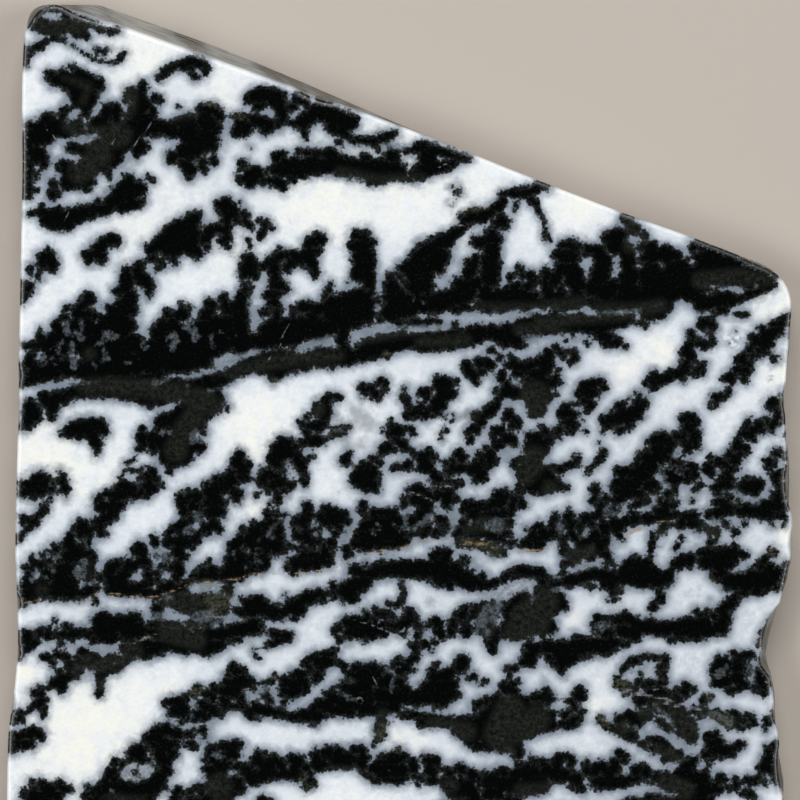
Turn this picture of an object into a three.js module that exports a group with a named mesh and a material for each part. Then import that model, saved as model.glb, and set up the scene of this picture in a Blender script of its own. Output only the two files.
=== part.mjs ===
// A polished slab of zebra jasper, lying on its sawn back: one solid stone.
// Millimetres, +Z up. The polished face is up, and the origin is under the middle of the slab, on its back.
import * as THREE from "three";

// The slab's thickness, and the ground edge that runs round both of its faces.
const THICKNESS = 6;
const EDGE_ROUND = 0.35;
const EDGE_STEPS = 3;
const WALL_STEPS = 4;

// Outlines are read across (u, to the right) and down (v) from a corner above and left of the slab.
// Right edge, from the bottom up: a natural break, with a notch under a blunt nose.
const RIGHT_EDGE = [
  [77.9, 88.5], [78.2, 84], [78.25, 80], [78.3, 77.5], [78.0, 74.3], [77.5, 70.5], [77.1, 67.8],
  [76.9, 66.2], [77.2, 64.4], [77.7, 62], [78.3, 59.3], [78.8, 57], [79.2, 55.3], [79.33, 53.3],
  [79.2, 50.5], [78.9, 47.2], [78.6, 43.5], [78.6, 40], [78.75, 36.5], [78.95, 33.5],
];
const RIGHT_SHOULDER = { from: [79.2, 31], bend: [79.2, 27.6], to: [76, 26.3] };
// Top edge, from right to left: a straight saw cut that bows out by less than half a millimetre.
const TOP_EDGE = [[69.1, 23.65], [62.2, 21.2], [51.8, 17.2], [42.5, 13.5], [27.2, 8.0], [15.3, 3.75], [8, 1.2]];
const LEFT_SHOULDER = { from: [6.2, 0.6], bend: [3, -0.35], to: [2.6, 2.4] };
// Left edge, from the top down: sawn, with a slow wave and a step outwards near the foot.
const LEFT_EDGE = [
  [2.3, 5], [2.15, 10], [2.2, 17], [2.05, 25], [1.9, 33], [1.8, 37], [1.85, 40.5], [1.6, 48],
  [1.5, 55], [1.7, 61], [1.75, 64], [1.5, 68], [1.1, 71], [0.8, 73.5], [0.68, 78], [0.62, 84], [0.8, 89],
];
// The bottom edge is a plain saw cut between two rounded corners.
const BOTTOM_LEFT = { bend: [1.0, 94.6], to: [4.6, 94.5] };
const BOTTOM_RIGHT = { from: [74.4, 92.3], bend: [77.7, 92.2] };

// The top edge's wall leans out towards the back of the slab, most near its left end.
const LEAN = 1.6;
const LEAN_RISES = [4.2, 9];
const LEAN_FALLS = [18, 50];
// The broken right edge is hollowed and swollen by this much between the two faces.
const BREAK_SWELL = 0.3;
const BREAK_WAVES_ALONG = 0.55;
const BREAK_STARTS_U = 70;
// Fine raggedness of the whole rim.
const RAGGED = 0.05;

// Chips in the rim of the polished face: where, half their width, how far in and how far down they go.
const CHIPS = [
  { at: [77.3, 63.6], reach: 3.4, inward: 0.95, down: 3.6 },
  { at: [77.0, 66.4], reach: 1.3, inward: 0.5, down: 2.2 },
  { at: [78.9, 48.8], reach: 2.6, inward: 0.45, down: 1.4 },
  { at: [79.3, 54.2], reach: 1.5, inward: 0.4, down: 1.2 },
  { at: [78.3, 77], reach: 2.6, inward: 0.45, down: 1.5 },
  { at: [77.6, 71.4], reach: 1.2, inward: 0.3, down: 1.0 },
  { at: [78.7, 39.8], reach: 1.6, inward: 0.25, down: 0.9 },
  { at: [75.9, 26.3], reach: 2.4, inward: 0.2, down: 0.9 },
  { at: [3.2, 0.9], reach: 2.2, inward: 0.55, down: 1.6 },
  { at: [8.6, 1.4], reach: 2.6, inward: 0.35, down: 0.9 },
  { at: [31.5, 9.6], reach: 2.2, inward: 0.3, down: 0.8 },
  { at: [1.7, 60.4], reach: 0.9, inward: 0.3, down: 0.9 },
  { at: [1.8, 65.3], reach: 1.0, inward: 0.25, down: 0.8 },
  { at: [1.2, 70.4], reach: 1.1, inward: 0.3, down: 1.0 },
  { at: [1.8, 37.5], reach: 0.8, inward: 0.2, down: 0.7 },
];

const STATION_SPACING = 1.0;
const STONE_COLOUR = 0x8d8f92;

function smoothstep(low, high, value) {
  return THREE.MathUtils.smoothstep(value, low, high);
}

// The slab's outline as a closed shape, drawn anticlockwise with y up.
function slabOutline() {
  const point = ([u, v]) => new THREE.Vector2(u, -v);
  const shape = new THREE.Shape();
  const curveTo = (bend, to) => {
    const [b, t] = [point(bend), point(to)];
    shape.quadraticCurveTo(b.x, b.y, t.x, t.y);
  };
  const start = point(BOTTOM_LEFT.to);
  shape.moveTo(start.x, start.y);
  const corner = point(BOTTOM_RIGHT.from);
  shape.lineTo(corner.x, corner.y);
  curveTo(BOTTOM_RIGHT.bend, RIGHT_EDGE[0]);
  shape.splineThru([...RIGHT_EDGE.slice(1), RIGHT_SHOULDER.from].map(point));
  curveTo(RIGHT_SHOULDER.bend, RIGHT_SHOULDER.to);
  shape.splineThru([...TOP_EDGE, LEFT_SHOULDER.from].map(point));
  curveTo(LEFT_SHOULDER.bend, LEFT_SHOULDER.to);
  shape.splineThru(LEFT_EDGE.map(point));
  curveTo(BOTTOM_LEFT.bend, BOTTOM_LEFT.to);
  const stations = Math.round(shape.getLength() / STATION_SPACING);
  return shape.getSpacedPoints(stations).slice(0, -1);
}

// The outward direction at each station of the outline.
function outwardAt(stations) {
  return stations.map((_, i) => {
    const before = stations[(i + stations.length - 1) % stations.length];
    const after = stations[(i + 1) % stations.length];
    const along = after.clone().sub(before).normalize();
    return new THREE.Vector2(along.y, -along.x);
  });
}

// How far a point of the wall stands out from the plain outline, at (u, v) and at a height above the back.
function wallOffset(u, v, height, station) {
  const onTopEdge = smoothstep(LEAN_RISES[0], LEAN_RISES[1], u) * (1 - smoothstep(LEAN_FALLS[0], LEAN_FALLS[1], u));
  const nearTop = v < 2 + u * 0.5 ? 1 : 0;
  let offset = LEAN * onTopEdge * nearTop * (1 - height / THICKNESS);

  const share = height / THICKNESS;
  const onBreak = smoothstep(BREAK_STARTS_U, BREAK_STARTS_U + 6, u) * smoothstep(29, 34, v);
  offset += onBreak * BREAK_SWELL * Math.sin(share * Math.PI) * Math.sin(v * BREAK_WAVES_ALONG + share * 2.5);

  offset += RAGGED * Math.sin(station * 12.9898) * Math.cos(station * 4.1 + height * 2);

  for (const { at, reach, inward, down } of CHIPS) {
    const along = Math.hypot(u - at[0], v - at[1]) / reach;
    if (along >= 1) continue;
    const bite = 1 - along * along;
    offset -= inward * bite * smoothstep(THICKNESS - down, THICKNESS, height);
  }
  return offset;
}

function slabGeometry() {
  const stations = slabOutline();
  const outward = outwardAt(stations);
  const geometry = new THREE.ExtrudeGeometry(new THREE.Shape(stations), {
    depth: THICKNESS - 2 * EDGE_ROUND,
    steps: WALL_STEPS,
    bevelEnabled: true,
    bevelThickness: EDGE_ROUND,
    bevelSize: EDGE_ROUND,
    bevelOffset: -EDGE_ROUND,
    bevelSegments: EDGE_STEPS,
  });
  geometry.translate(0, 0, EDGE_ROUND);
  const position = geometry.attributes.position;
  const place = new THREE.Vector2();
  for (let i = 0; i < position.count; i++) {
    place.set(position.getX(i), position.getY(i));
    let nearest = 0;
    stations.forEach((s, k) => {
      if (s.distanceToSquared(place) < stations[nearest].distanceToSquared(place)) nearest = k;
    });
    const [u, v] = [stations[nearest].x, -stations[nearest].y];
    place.addScaledVector(outward[nearest], wallOffset(u, v, position.getZ(i), nearest));
    position.setXY(i, place.x, place.y);
  }
  geometry.computeBoundingBox();
  const middle = geometry.boundingBox.getCenter(new THREE.Vector3());
  geometry.translate(-middle.x, -middle.y, 0);
  geometry.computeVertexNormals();
  return geometry;
}

const stone = new THREE.MeshStandardMaterial({ color: STONE_COLOUR, roughness: 0.22, metalness: 0 });
const slab = new THREE.Mesh(slabGeometry(), stone);
slab.name = "slab";

const part = new THREE.Group();
part.add(slab);

export default part;
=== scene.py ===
import math

import bpy
import numpy as np
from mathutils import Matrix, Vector, geometry


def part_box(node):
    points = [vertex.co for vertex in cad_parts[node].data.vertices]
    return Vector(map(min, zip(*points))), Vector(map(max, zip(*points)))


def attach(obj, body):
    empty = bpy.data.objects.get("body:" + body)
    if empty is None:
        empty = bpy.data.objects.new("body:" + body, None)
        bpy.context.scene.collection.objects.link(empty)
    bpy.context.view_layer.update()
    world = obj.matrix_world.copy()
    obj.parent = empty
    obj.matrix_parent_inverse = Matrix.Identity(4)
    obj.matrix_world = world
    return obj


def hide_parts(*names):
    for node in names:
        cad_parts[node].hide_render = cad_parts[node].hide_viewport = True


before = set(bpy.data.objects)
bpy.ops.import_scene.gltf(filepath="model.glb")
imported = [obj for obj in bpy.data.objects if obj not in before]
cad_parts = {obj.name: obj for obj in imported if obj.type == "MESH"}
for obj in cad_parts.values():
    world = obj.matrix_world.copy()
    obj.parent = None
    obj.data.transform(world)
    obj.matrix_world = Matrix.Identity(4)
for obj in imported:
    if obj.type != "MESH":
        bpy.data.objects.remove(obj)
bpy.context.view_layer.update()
slab_low, slab_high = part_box("slab")
MM = 0.001

# Camera: straight above the polished face, through a long lens, so the slab is seen flat.
# Places on the slab are read in millimetres across and down from the view's top left corner, and the slab's
# foot runs out of the bottom of the view.
LEFT_EDGE_ACROSS = 0.62
TOP_EDGE_DOWN = 0.22
VIEW_WIDTH = 80.0
VIEW_MIDDLE = (40.0, 40.0)
LENS = 300.0
SENSOR = 36.0


def on_slab(across, down, height=0.0):
    """A point in metres, from millimetres across and down the view and above the slab's back."""
    x = slab_low.x + (across - LEFT_EDGE_ACROSS) * MM
    y = slab_high.y - (down - TOP_EDGE_DOWN) * MM
    return x, y, height * MM


camera_data = bpy.data.cameras.new("view from above")
camera_data.lens = LENS
camera_data.sensor_width = SENSOR
camera_data.clip_end = 10.0
camera = bpy.data.objects.new("view from above", camera_data)
middle_x, middle_y, _ = on_slab(*VIEW_MIDDLE)
camera.location = (middle_x, middle_y, slab_high.z + VIEW_WIDTH * MM * LENS / SENSOR)
bpy.context.collection.objects.link(camera)
bpy.context.scene.camera = camera

# Slab: one piece of zebra jasper, black moss-like growth in bluish white quartz, cut 6 mm thick.
# The upper face is ground and polished, the back and the left, top and bottom edges are left as sawn,
# and the right edge is a natural break with small chips in its rim.
THICKNESS = 6.0
EDGE_ROUND = 0.35
RIGHT_EDGE = [
    (77.9, 88.5), (78.2, 84), (78.25, 80), (78.3, 77.5), (78.0, 74.3), (77.5, 70.5), (77.1, 67.8),
    (76.9, 66.2), (77.2, 64.4), (77.7, 62), (78.3, 59.3), (78.8, 57), (79.2, 55.3), (79.33, 53.3),
    (79.2, 50.5), (78.9, 47.2), (78.6, 43.5), (78.6, 40), (78.75, 36.5), (78.95, 33.5),
]
RIGHT_SHOULDER = [(79.2, 31), (79.2, 27.6), (76, 26.3)]
TOP_EDGE = [(69.1, 23.65), (62.2, 21.2), (51.8, 17.2), (42.5, 13.5), (27.2, 8.0), (15.3, 3.75), (8, 1.2)]
LEFT_SHOULDER = [(6.2, 0.6), (3, -0.35), (2.6, 2.4)]
LEFT_EDGE = [
    (2.3, 5), (2.15, 10), (2.2, 17), (2.05, 25), (1.9, 33), (1.8, 37), (1.85, 40.5), (1.6, 48),
    (1.5, 55), (1.7, 61), (1.75, 64), (1.5, 68), (1.1, 71), (0.8, 73.5), (0.68, 78), (0.62, 84), (0.8, 89),
]
BOTTOM_LEFT = [(0.8, 89), (1.0, 94.6), (4.6, 94.5)]
BOTTOM_RIGHT = [(74.4, 92.3), (77.7, 92.2), (77.9, 88.5)]
# The top edge's wall leans out towards the back, most near its left end, and the break swells
# between the faces.
LEAN = 1.6
BREAK_SWELL = 0.3
# Chips in the rim of the polished face: across, down, half their width, how far in and how far down they go.
CHIPS = [
    (77.3, 63.6, 3.4, 0.95, 3.6), (77.0, 66.4, 1.3, 0.5, 2.2), (78.9, 48.8, 2.6, 0.45, 1.4),
    (79.3, 54.2, 1.5, 0.4, 1.2), (78.3, 77, 2.6, 0.45, 1.5), (77.6, 71.4, 1.2, 0.3, 1.0),
    (78.7, 39.8, 1.6, 0.25, 0.9), (75.9, 26.3, 2.4, 0.2, 0.9), (3.2, 0.9, 2.2, 0.55, 1.6),
    (8.6, 1.4, 2.6, 0.35, 0.9), (31.5, 9.6, 2.2, 0.3, 0.8), (1.7, 60.4, 0.9, 0.3, 0.9),
    (1.8, 65.3, 1.0, 0.25, 0.8), (1.2, 70.4, 1.1, 0.3, 1.0), (1.8, 37.5, 0.8, 0.2, 0.7),
]
STATION_SPACING = 0.33
FACE_SPACING = 0.335
BACK_SPACING = 1.0
# Rows of the wall, as (set in from the outline, height), from the rim of the back to the rim of the face.
BEVEL_TURNS = np.radians([0, 30, 60, 90])
WALL_ROWS = [(EDGE_ROUND * (1 - math.sin(t)), EDGE_ROUND * (1 - math.cos(t))) for t in BEVEL_TURNS]
WALL_ROWS += [(0.0, height) for height in (1.2, 2.3, 3.4, 4.4, 5.1)]
WALL_ROWS += [
    (EDGE_ROUND * (1 - math.sin(t)), THICKNESS - EDGE_ROUND * (1 - math.cos(t))) for t in BEVEL_TURNS[::-1]
]


def through(points, steps=40):
    """A smooth curve through points, given without its last one."""
    p = np.array([points[0], *points, points[-1]], float)
    t = (np.arange(steps) / steps)[:, None]
    pieces = []
    for before, start, end, after in zip(p, p[1:], p[2:], p[3:]):
        out, into = (end - before) / 2, (after - start) / 2
        cubic = (2 * start - 2 * end + out + into) * t ** 3
        square = (3 * end - 3 * start - 2 * out - into) * t ** 2
        pieces.append(cubic + square + out * t + start)
    return np.vstack(pieces)


def corner(points, steps=60):
    """A quadratic corner, given without its last point."""
    start, bend, end = np.array(points, float)
    t = (np.arange(steps) / steps)[:, None]
    return (1 - t) ** 2 * start + 2 * t * (1 - t) * bend + t ** 2 * end


def smooth_step(low, high, value):
    """Nought below low, one above high, and smooth between."""
    share = np.clip((value - low) / (high - low), 0, 1)
    return share * share * (3 - 2 * share)


# The outline, anticlockwise as seen from above, at even stations.
outline = np.vstack([
    np.array([BOTTOM_LEFT[2]], float),
    corner(BOTTOM_RIGHT),
    through([*RIGHT_EDGE, RIGHT_SHOULDER[0]]),
    corner(RIGHT_SHOULDER),
    through([RIGHT_SHOULDER[2], *TOP_EDGE, LEFT_SHOULDER[0]]),
    corner(LEFT_SHOULDER),
    through([LEFT_SHOULDER[2], *LEFT_EDGE]),
    corner(BOTTOM_LEFT),
    np.array([BOTTOM_LEFT[2]], float),
])
travelled = np.concatenate([[0], np.cumsum(np.hypot(*np.diff(outline, axis=0).T))])
station_count = int(travelled[-1] / STATION_SPACING)
stops = np.arange(station_count) * travelled[-1] / station_count
stations = np.column_stack([np.interp(stops, travelled, outline[:, k]) for k in (0, 1)])
along = np.roll(stations, -2, axis=0) - np.roll(stations, 2, axis=0)
along /= np.hypot(*along.T)[:, None]
outward = np.column_stack([-along[:, 1], along[:, 0]])


def wall_offset(height):
    """How far the wall stands out from the outline at each station, at one height."""
    u, v = stations.T
    share = height / THICKNESS
    leaning = smooth_step(4.2, 9, u) * (1 - smooth_step(18, 50, u)) * (v < 2 + u / 2)
    offset = LEAN * leaning * (1 - share)
    on_break = smooth_step(70, 76, u) * smooth_step(29, 34, v)
    offset += on_break * BREAK_SWELL * math.sin(share * math.pi) * np.sin(v * 0.55 + share * 2.5)
    for across, down, reach, inward, deep in CHIPS:
        near = np.hypot(u - across, v - down) / reach
        bite = np.clip(1 - near * near, 0, 1)
        offset -= inward * bite * smooth_step(THICKNESS - deep, THICKNESS, height)
    return offset


def inner_grid(rim, spacing):
    """Points of a three-way grid inside a rim, kept clear of it."""
    rows = []
    following = np.roll(rim, -1, axis=0)
    for k, v in enumerate(np.arange(rim[:, 1].min(), rim[:, 1].max(), spacing * math.sqrt(0.75))):
        u = np.arange(rim[:, 0].min(), rim[:, 0].max(), spacing) + spacing / 2 * (k % 2)
        crosses = (rim[:, 1] > v) != (following[:, 1] > v)
        start, end = rim[crosses], following[crosses]
        cut = start[:, 0] + (v - start[:, 1]) * (end[:, 0] - start[:, 0]) / (end[:, 1] - start[:, 1])
        inside = (u[:, None] < cut).sum(axis=1) % 2 == 1
        beside = rim[np.abs(rim[:, 1] - v) < spacing]
        clear = np.full(len(u), 9.0)
        if len(beside):
            clear = np.hypot(u[:, None] - beside[:, 0], v - beside[:, 1]).min(axis=1)
        u = u[inside & (clear > spacing * 0.62)]
        rows.append(np.column_stack([u, np.full(len(u), v)]))
    return np.vstack(rows)


def fill(rim, spacing):
    """The inner points of a face and its triangles, which count the rim's points first."""
    inner = inner_grid(rim, spacing)
    points = [Vector((u, -v)) for u, v in np.vstack([rim, inner])]
    ring = [(k, (k + 1) % len(rim)) for k in range(len(rim))]
    placed, _, triangles, _, _, _ = geometry.delaunay_2d_cdt(points, ring, [], 0, 1e-7, False)
    assert len(placed) == len(points), "two points of a face fell together"
    # Triangles between rim points alone fill the rim's hollows too: those outside it turn against the rim.
    a, b, c = np.array(triangles).T
    has_inner_point = np.maximum(np.maximum(a, b), c) >= len(rim)
    turns_with_rim = (b > a).astype(int) + (c > b) + (a > c) == 2
    return inner, np.array(triangles)[has_inner_point | turns_with_rim]


rings = [stations + outward * (wall_offset(height) - inset)[:, None] for inset, height in WALL_ROWS]
face_inner, face_triangles = fill(rings[-1], FACE_SPACING)
back_inner, back_triangles = fill(rings[0], BACK_SPACING)

ring_size = len(stations)
ring_count = len(WALL_ROWS)
place = np.vstack([*rings, face_inner, back_inner])
height = np.concatenate([
    np.repeat([h for _, h in WALL_ROWS], ring_size),
    np.full(len(face_inner), THICKNESS),
    np.zeros(len(back_inner)),
])
face_triangles = face_triangles + (ring_count - 1) * ring_size
back_start = ring_count * ring_size + len(face_inner)
back_triangles = back_triangles + np.where(back_triangles < ring_size, 0, back_start - ring_size)
here = np.arange(ring_size)
beside = (here + 1) % ring_size
walls = [
    np.column_stack([here, beside, beside + ring_size, here + ring_size]) + k * ring_size
    for k in range(ring_count - 1)
]

# The growth, drawn as strokes. A stroke is a chain of round dabs, each across, down and radius.
# Black growth, from the top of the slab down.
MOSS = [
    # The top strips.
    (3.3,2.2,.5, 4.2,2.6,.7, 5.2,2.8,.75, 6.2,2.9,.7, 6.9,2.3,.6, 7.6,2.9,.7, 8.3,3,.5),
    (6.6,1.6,.4, 7.4,1.7,.3, 8.4,2,.3, 9.3,2.5,.3, 10.1,3,.3), (11.1,3,.2, 11.7,3,.25),
    (3.6,1.5,.4, 4.4,1,.3, 5.2,.8,.22, 6.1,.9,.2, 6.9,1.3,.2), (5.4,3.6,.1), (8.2,3.4,.4, 8.8,3.8,.2),
    (2.3,4.8,.3, 2.6,5.4,.45, 2.5,6.3,.3),
    (3.2,5,.35, 4,4.5,.3, 4.8,4.1,.08, 5.4,3.9,.08, 6.2,4,.02, 6.8,4.4,-.02, 7.6,4.8,.02, 8.4,5.2,.05,
     9,5.7,.05, 9.8,6.1,.08, 10.6,6.3,.02, 11.4,6.3,.08, 12,6,.12, 12.3,5.6,.15, 12.4,5.3,.15),
    (4.9,7.5,.4, 5.6,8,.7, 6.3,7.7,.8, 6.9,8.3,.8, 7.9,7.9,1, 8.8,8.4,1, 9.7,8.5,.7),
    (8,9.4,1.1, 8.6,9.8,1.2, 8.2,10.5,.9, 8.5,11.2,.7), (7.2,6.8,.3), (7.4,8.8,.8),
    (3,12.6,.4, 3.8,12.8,.7, 4.6,12,.6, 5.2,11.8,.4), (6.2,11.6,.4, 6.6,11,.45),
    (3.2,13.8,.9, 4.4,13.5,1, 5.6,12.8,1, 6.8,12.8,.9, 7.4,12.8,.8, 8.4,13,.5, 9.3,12.4,.6, 10.2,12.2,.8,
     10.8,13.2,1), (10.6,11.6,.6, 11,10.7,.5), (11.6,10.8,.5, 11.8,11.8,.7),
    (2.7,14,.6, 2.8,15,.8, 3.6,15.5,.9, 4.3,15.8,.6),
    (7,14.7,.4, 8,14.9,.5, 9,15.4,.8, 10.2,15.2,1.1, 11.4,14.6,1.2, 12.5,14,1.2, 13.4,13,1.2,
     14.2,12.2,1.2, 15,12.6,1, 16,12.8,.8), (13,9.3,.5, 13.8,9.5,.8, 14.2,8.8,.5, 14.3,8.3,.3),
    (14.3,10.4,.9, 13.6,11.3,.9), (15.4,9.8,.4, 15.8,10.2,.3), (15.2,11.2,.6), (12.6,10.2,.3),
    (14,14.6,.8, 13.6,15.4,.4), (12.8,13,1.2),
    (15.9,7.8,.3, 16.5,7.2,.4, 17.3,6.7,.35, 18.2,6.4,.4, 19.2,6.2,.6, 20.2,6.4,.5, 20.6,6.9,.3,
     20.5,7.3,.2), (19.5,7.6,.4), (16,10,.3), (17.9,10.8,.15),
    (16.5,12.9,.7, 17.5,12.4,.5, 18.6,12,.6, 19.3,12,.5), (20.2,10.9,.5, 21.2,10.9,.6, 21.9,11.5,.5),
    (20.4,12,1, 21,12.8,1.1, 20.6,13.8,1.2, 19.6,14.6,1.2, 18.6,15.2,1),
    (18.9,13.4,1.2, 17.9,13.2,.7, 16.8,13.2,.6), (17.2,15.7,.6), (21.2,14.6,.5),
    (23.4,11.6,.3, 24,12,.7, 24.4,12.9,.7, 23.6,13.2,.5), (24.4,13.1,.5),
    (25,9.9,.5, 25.8,9.6,.8, 26.8,9.7,1, 27.7,9.9,1, 28.1,10.8,.7, 28.2,11.8,.6, 27.8,12.5,.5),
    (25.8,10.7,.5), (25.3,12,.6, 26.2,12.3,.8, 26.9,12.6,.7, 26.4,13.1,.4),
    (29.7,9.9,.5, 30.3,10,.6, 30.7,10.5,.3), (29.4,10.7,.4),
    (32,10.6,.5, 31.4,11.2,.8, 30.8,12,.8, 30,12.4,.6, 29.3,12.3,.3), (30.5,13.2,.3, 30.5,13.8,.15),
    (29.9,15.2,.3, 31,15.3,.4, 32,15.4,.5), (27.7,15.8,.5, 28.4,15.4,.3),
    (32.2,11,1, 33.2,11.6,1, 34.2,12.2,1, 34.8,12.2,1, 35.3,11.8,.5),
    (33,12.6,.5, 34.2,13.2,.5, 35,13.7,.3), (33,10.4,.3),
    (35.4,14.1,.2, 36.2,14.1,.4, 37.2,14.2,.45, 38.2,13.8,.5, 39.1,13.5,.5, 39.5,13.2,.25), (34,14.2,.25),
    (40.6,15.2,.3, 41.6,14.9,.4, 42.4,14.6,.5, 43.4,15,.5, 44.6,15.3,.5, 45.6,15.6,.4, 46.8,15.9,.3),
    (42.8,15.8,1), (33,15.6,.8, 34.4,15.8,.3), (36.6,15.9,.6), (37.9,15.2,.15), (39.2,15.6,.7),
    (2.7,16.3,.6, 2.8,17.5,.6, 2.7,18.6,.6, 2.7,19.4,.55), (3.5,17.6,.4), (3.6,19,.2), (4.4,16.4,.45),
    (6.2,16.6,.6, 7,17.2,.9, 8,17.6,1.1, 8.6,16.9,1.1, 9.4,16.3,1, 10.4,16.1,.9, 11.3,16.1,.6, 12.1,16,.3),
    (6.6,18.2,.7, 7.6,18.1,.8, 8.7,18.2,.7, 8.8,18.8,.3),
    (5.4,18.3,.35, 5.4,19.2,.5, 5.2,19.7,.4, 5.8,19.5,.3), (10.9,17.2,.3, 11,17.6,.2),
    (3,21.4,.2, 4,21.3,.4, 4.8,21.8,.9, 5.8,21.9,1.1, 6.5,22,1.1, 7.3,21.6,.8, 8.3,21.3,.8, 9.2,21.2,.6,
     9.9,20.9,.6, 10.5,20.9,.6, 11.2,20.3,.7, 12,19.6,1.1, 12.8,19.1,1.2, 13.6,18.9,.9, 14.2,18.8,.5),
    (13,20.3,.8, 13.6,20.4,.5, 14.2,20.2,.3), (13,18,.5, 12.5,17.7,.2), (14.8,17.8,.2, 15.2,18.1,.2),
    (12.2,20.6,.6), (9.8,20.2,.3), (4.2,20.5,.15), (9.4,24.7,.4, 10.2,24.3,.5, 11,24,.55, 11.6,24.1,.55),
    (9.6,25.4,.6, 10.1,25.7,.6), (8.6,25.5,.35, 8.9,26.2,.3),
    (4.2,25.8,.6, 4.9,25.9,.8, 5.2,26.5,.6, 5.4,27,.25), (4.3,26.5,.5), (4.8,24.8,.15),
    (3.2,26.8,.3, 3,27.2,.3), (3.8,27.4,.35, 4,27.8,.2),
    (2.5,28.6,.5, 2.9,28.9,.5, 2.4,29.6,.4, 2.2,30.2,.2), (15.2,25,.6, 15.8,24.6,.8, 16.4,24.4,1),
    (15.2,25.8,.5), (14.6,24.5,.15), (15.7,26.8,.3),
    (13.9,26.6,.5, 13.8,27.4,.8, 14.2,28.2,.6, 14.8,28,.5, 15,28.8,.5, 14.9,29.5,.3),
    (12.6,27.2,.5, 12.8,28.2,.8, 12.4,29,.7, 11.7,29,.4),
    (12.9,29.6,.8, 12.6,30.6,1, 12,31.4,1, 11.2,31.2,.6, 10.8,30.8,.3), (13.2,31,.6),
    (8.8,29.8,.6, 9.3,30.1,.4), (8.2,30.6,.6, 7.8,31.4,.7, 8.8,31.3,.6, 9.6,31.8,.5), (6.7,30.9,.3),
    (6.4,31.8,.4), (17,16.1,.3), (18.4,16.3,.6, 19,17,.7, 18.9,17.6,.4), (20.2,16.3,.6, 20.4,17,.3),
    (21.4,16.1,.4), (24.3,16.3,.4, 24.2,16.8,.3), (25.4,17.6,1, 25,18,.8, 24.2,17.9,.4, 23.8,17.7,.2),
    (26.2,18,.5, 27.2,18.2,.5, 28.2,18.3,.5, 28.3,18.9,.2),
    (27.6,17,.6, 28.6,16.8,1, 29.8,16.8,1, 31,16.6,.9, 32,16.5,.9), (29.2,17.8,.5), (24.8,18.6,.3),
    (26.5,17.3,.25), (22.6,20.7,1, 23.2,21.2,.8, 22.7,21.8,.5, 22.8,22.6,.4), (22,20.4,.5), (24,20.2,.2),
    (24.3,21.4,.5, 24.5,22,.4, 24.8,22.5,.3, 25.2,22.8,.2), (23.6,22,.4),
    (25.9,22.1,.2, 26.5,22.5,.5, 27.1,22.8,.2), (26.2,23.2,.3, 25.9,23.7,.2), (24.8,24.1,.2, 25,24.5,.15),
    (16.8,23.6,.8, 17.6,23.2,1, 18.6,22.6,.9, 19.4,22,.8, 19.8,21.6,.4),
    (16.8,24.8,1, 17.8,24.4,1.2, 19,24,1.1, 19.4,23,.7), (19,24.8,.8, 19.8,25.2,.6, 19.6,25.8,.25),
    (20.4,24,.7, 20.7,23.3,.6, 21.4,22.8,.5, 22.2,22.9,.5, 22.6,23.4,.5, 22.4,24.1,.5, 22.8,24.5,.3),
    (20.6,24.6,.5), (17.2,25.8,.4, 17.5,26.3,.25), (16.2,26.3,.4),
    (24.8,26,.7, 24.9,26.9,1, 24.5,27.3,.6, 25.6,27.5,.3),
    (26.3,26.6,.4, 27,26.3,.5, 27.7,25.8,.6, 28.4,25.6,.5, 29.2,25.6,.5, 29.9,25.9,.6, 30.6,25.4,.5),
    (29,26.4,.6, 28.6,26.8,.4), (27.4,26.9,.6, 27.5,27.8,.6, 27.3,28.6,.5, 28.2,28.5,.5, 28.6,28.8,.4),
    (28,25,.2), (30.6,24.6,.4, 31.2,24.2,.6, 32,23.9,.6),
    (31,25.6,.7, 31.2,26.5,.6, 31.5,27.2,.4, 31.5,27.7,.15), (30.4,26.6,.3),
    (24.7,28.3,.3, 24.3,29.2,.5, 24.2,30.1,.7, 23.8,30.9,1, 24,31.6,.8), (25,28.8,.3),
    (22.3,29.8,.4, 22.5,30.4,.5, 22.8,31.2,.5), (20.8,30.3,.4, 21.2,30.6,.5, 21,31.4,.6, 20.4,31.6,.6),
    (18.2,30.4,.15, 18.3,31.2,.5, 18.6,31.6,.5, 17.6,31.6,.5, 16.8,31.5,.5), (18.9,30.9,.3),
    (26.8,29.4,.5, 27.6,29.4,.5, 27.4,30.2,.6, 27.9,30.8,.3), (26.2,31.2,.35, 27,31.1,.3), (27.6,31.7,.6),
    (29.4,31,.3, 30.3,30.8,.6, 31.3,30.8,.6, 32,31,.6, 31,31.6,.6),
    (32,16.6,.8, 33.4,16.5,.9, 35,16.7,.9, 36.6,17,1.1, 38,17.1,1.2, 39.4,17,1, 40.8,17.4,.7, 42.2,17.2,.8,
     43.4,16.7,.7, 44.8,16.5,.6, 45.6,16.3,.4), (37,18,.5, 38.3,18,.4), (34.9,17.7,.2), (43,16.2,.8),
    (45.6,18.8,.35, 46,19.3,.2), (45.1,20.3,.12),
    (35.6,23.6,.5, 36.6,23.5,.5, 36.9,24.2,.6, 36.2,24.6,.8, 35.2,24.6,.4),
    (36.2,25.6,1, 37,25.6,.6, 36.5,26.6,1.1, 36,27.4,.9, 36.9,27.6,.7, 37,28.6,.5), (34.8,28.2,.12),
    (33.1,28.4,.2), (32.8,28.8,.25, 32.6,29.8,.4),
    (33.3,30.5,1, 34.6,30.3,1, 36,29.6,.8, 36.8,30,.9, 36.2,31.2,1.2, 34.4,31.6,1, 32.8,31.6,.8),
    (39,27.8,.5, 39.1,28.6,.8, 39.5,29.8,1.2, 40.8,30.6,1.2, 39,31.2,1),
    (40.2,26.8,.5, 40.9,26.6,.5, 41.8,25.8,.8, 42.6,25.2,.9, 43.5,24.6,.8, 44.6,24.1,.8, 45.4,23.4,.5,
     46.3,22.7,.35), (42,24.6,.4),
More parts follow.
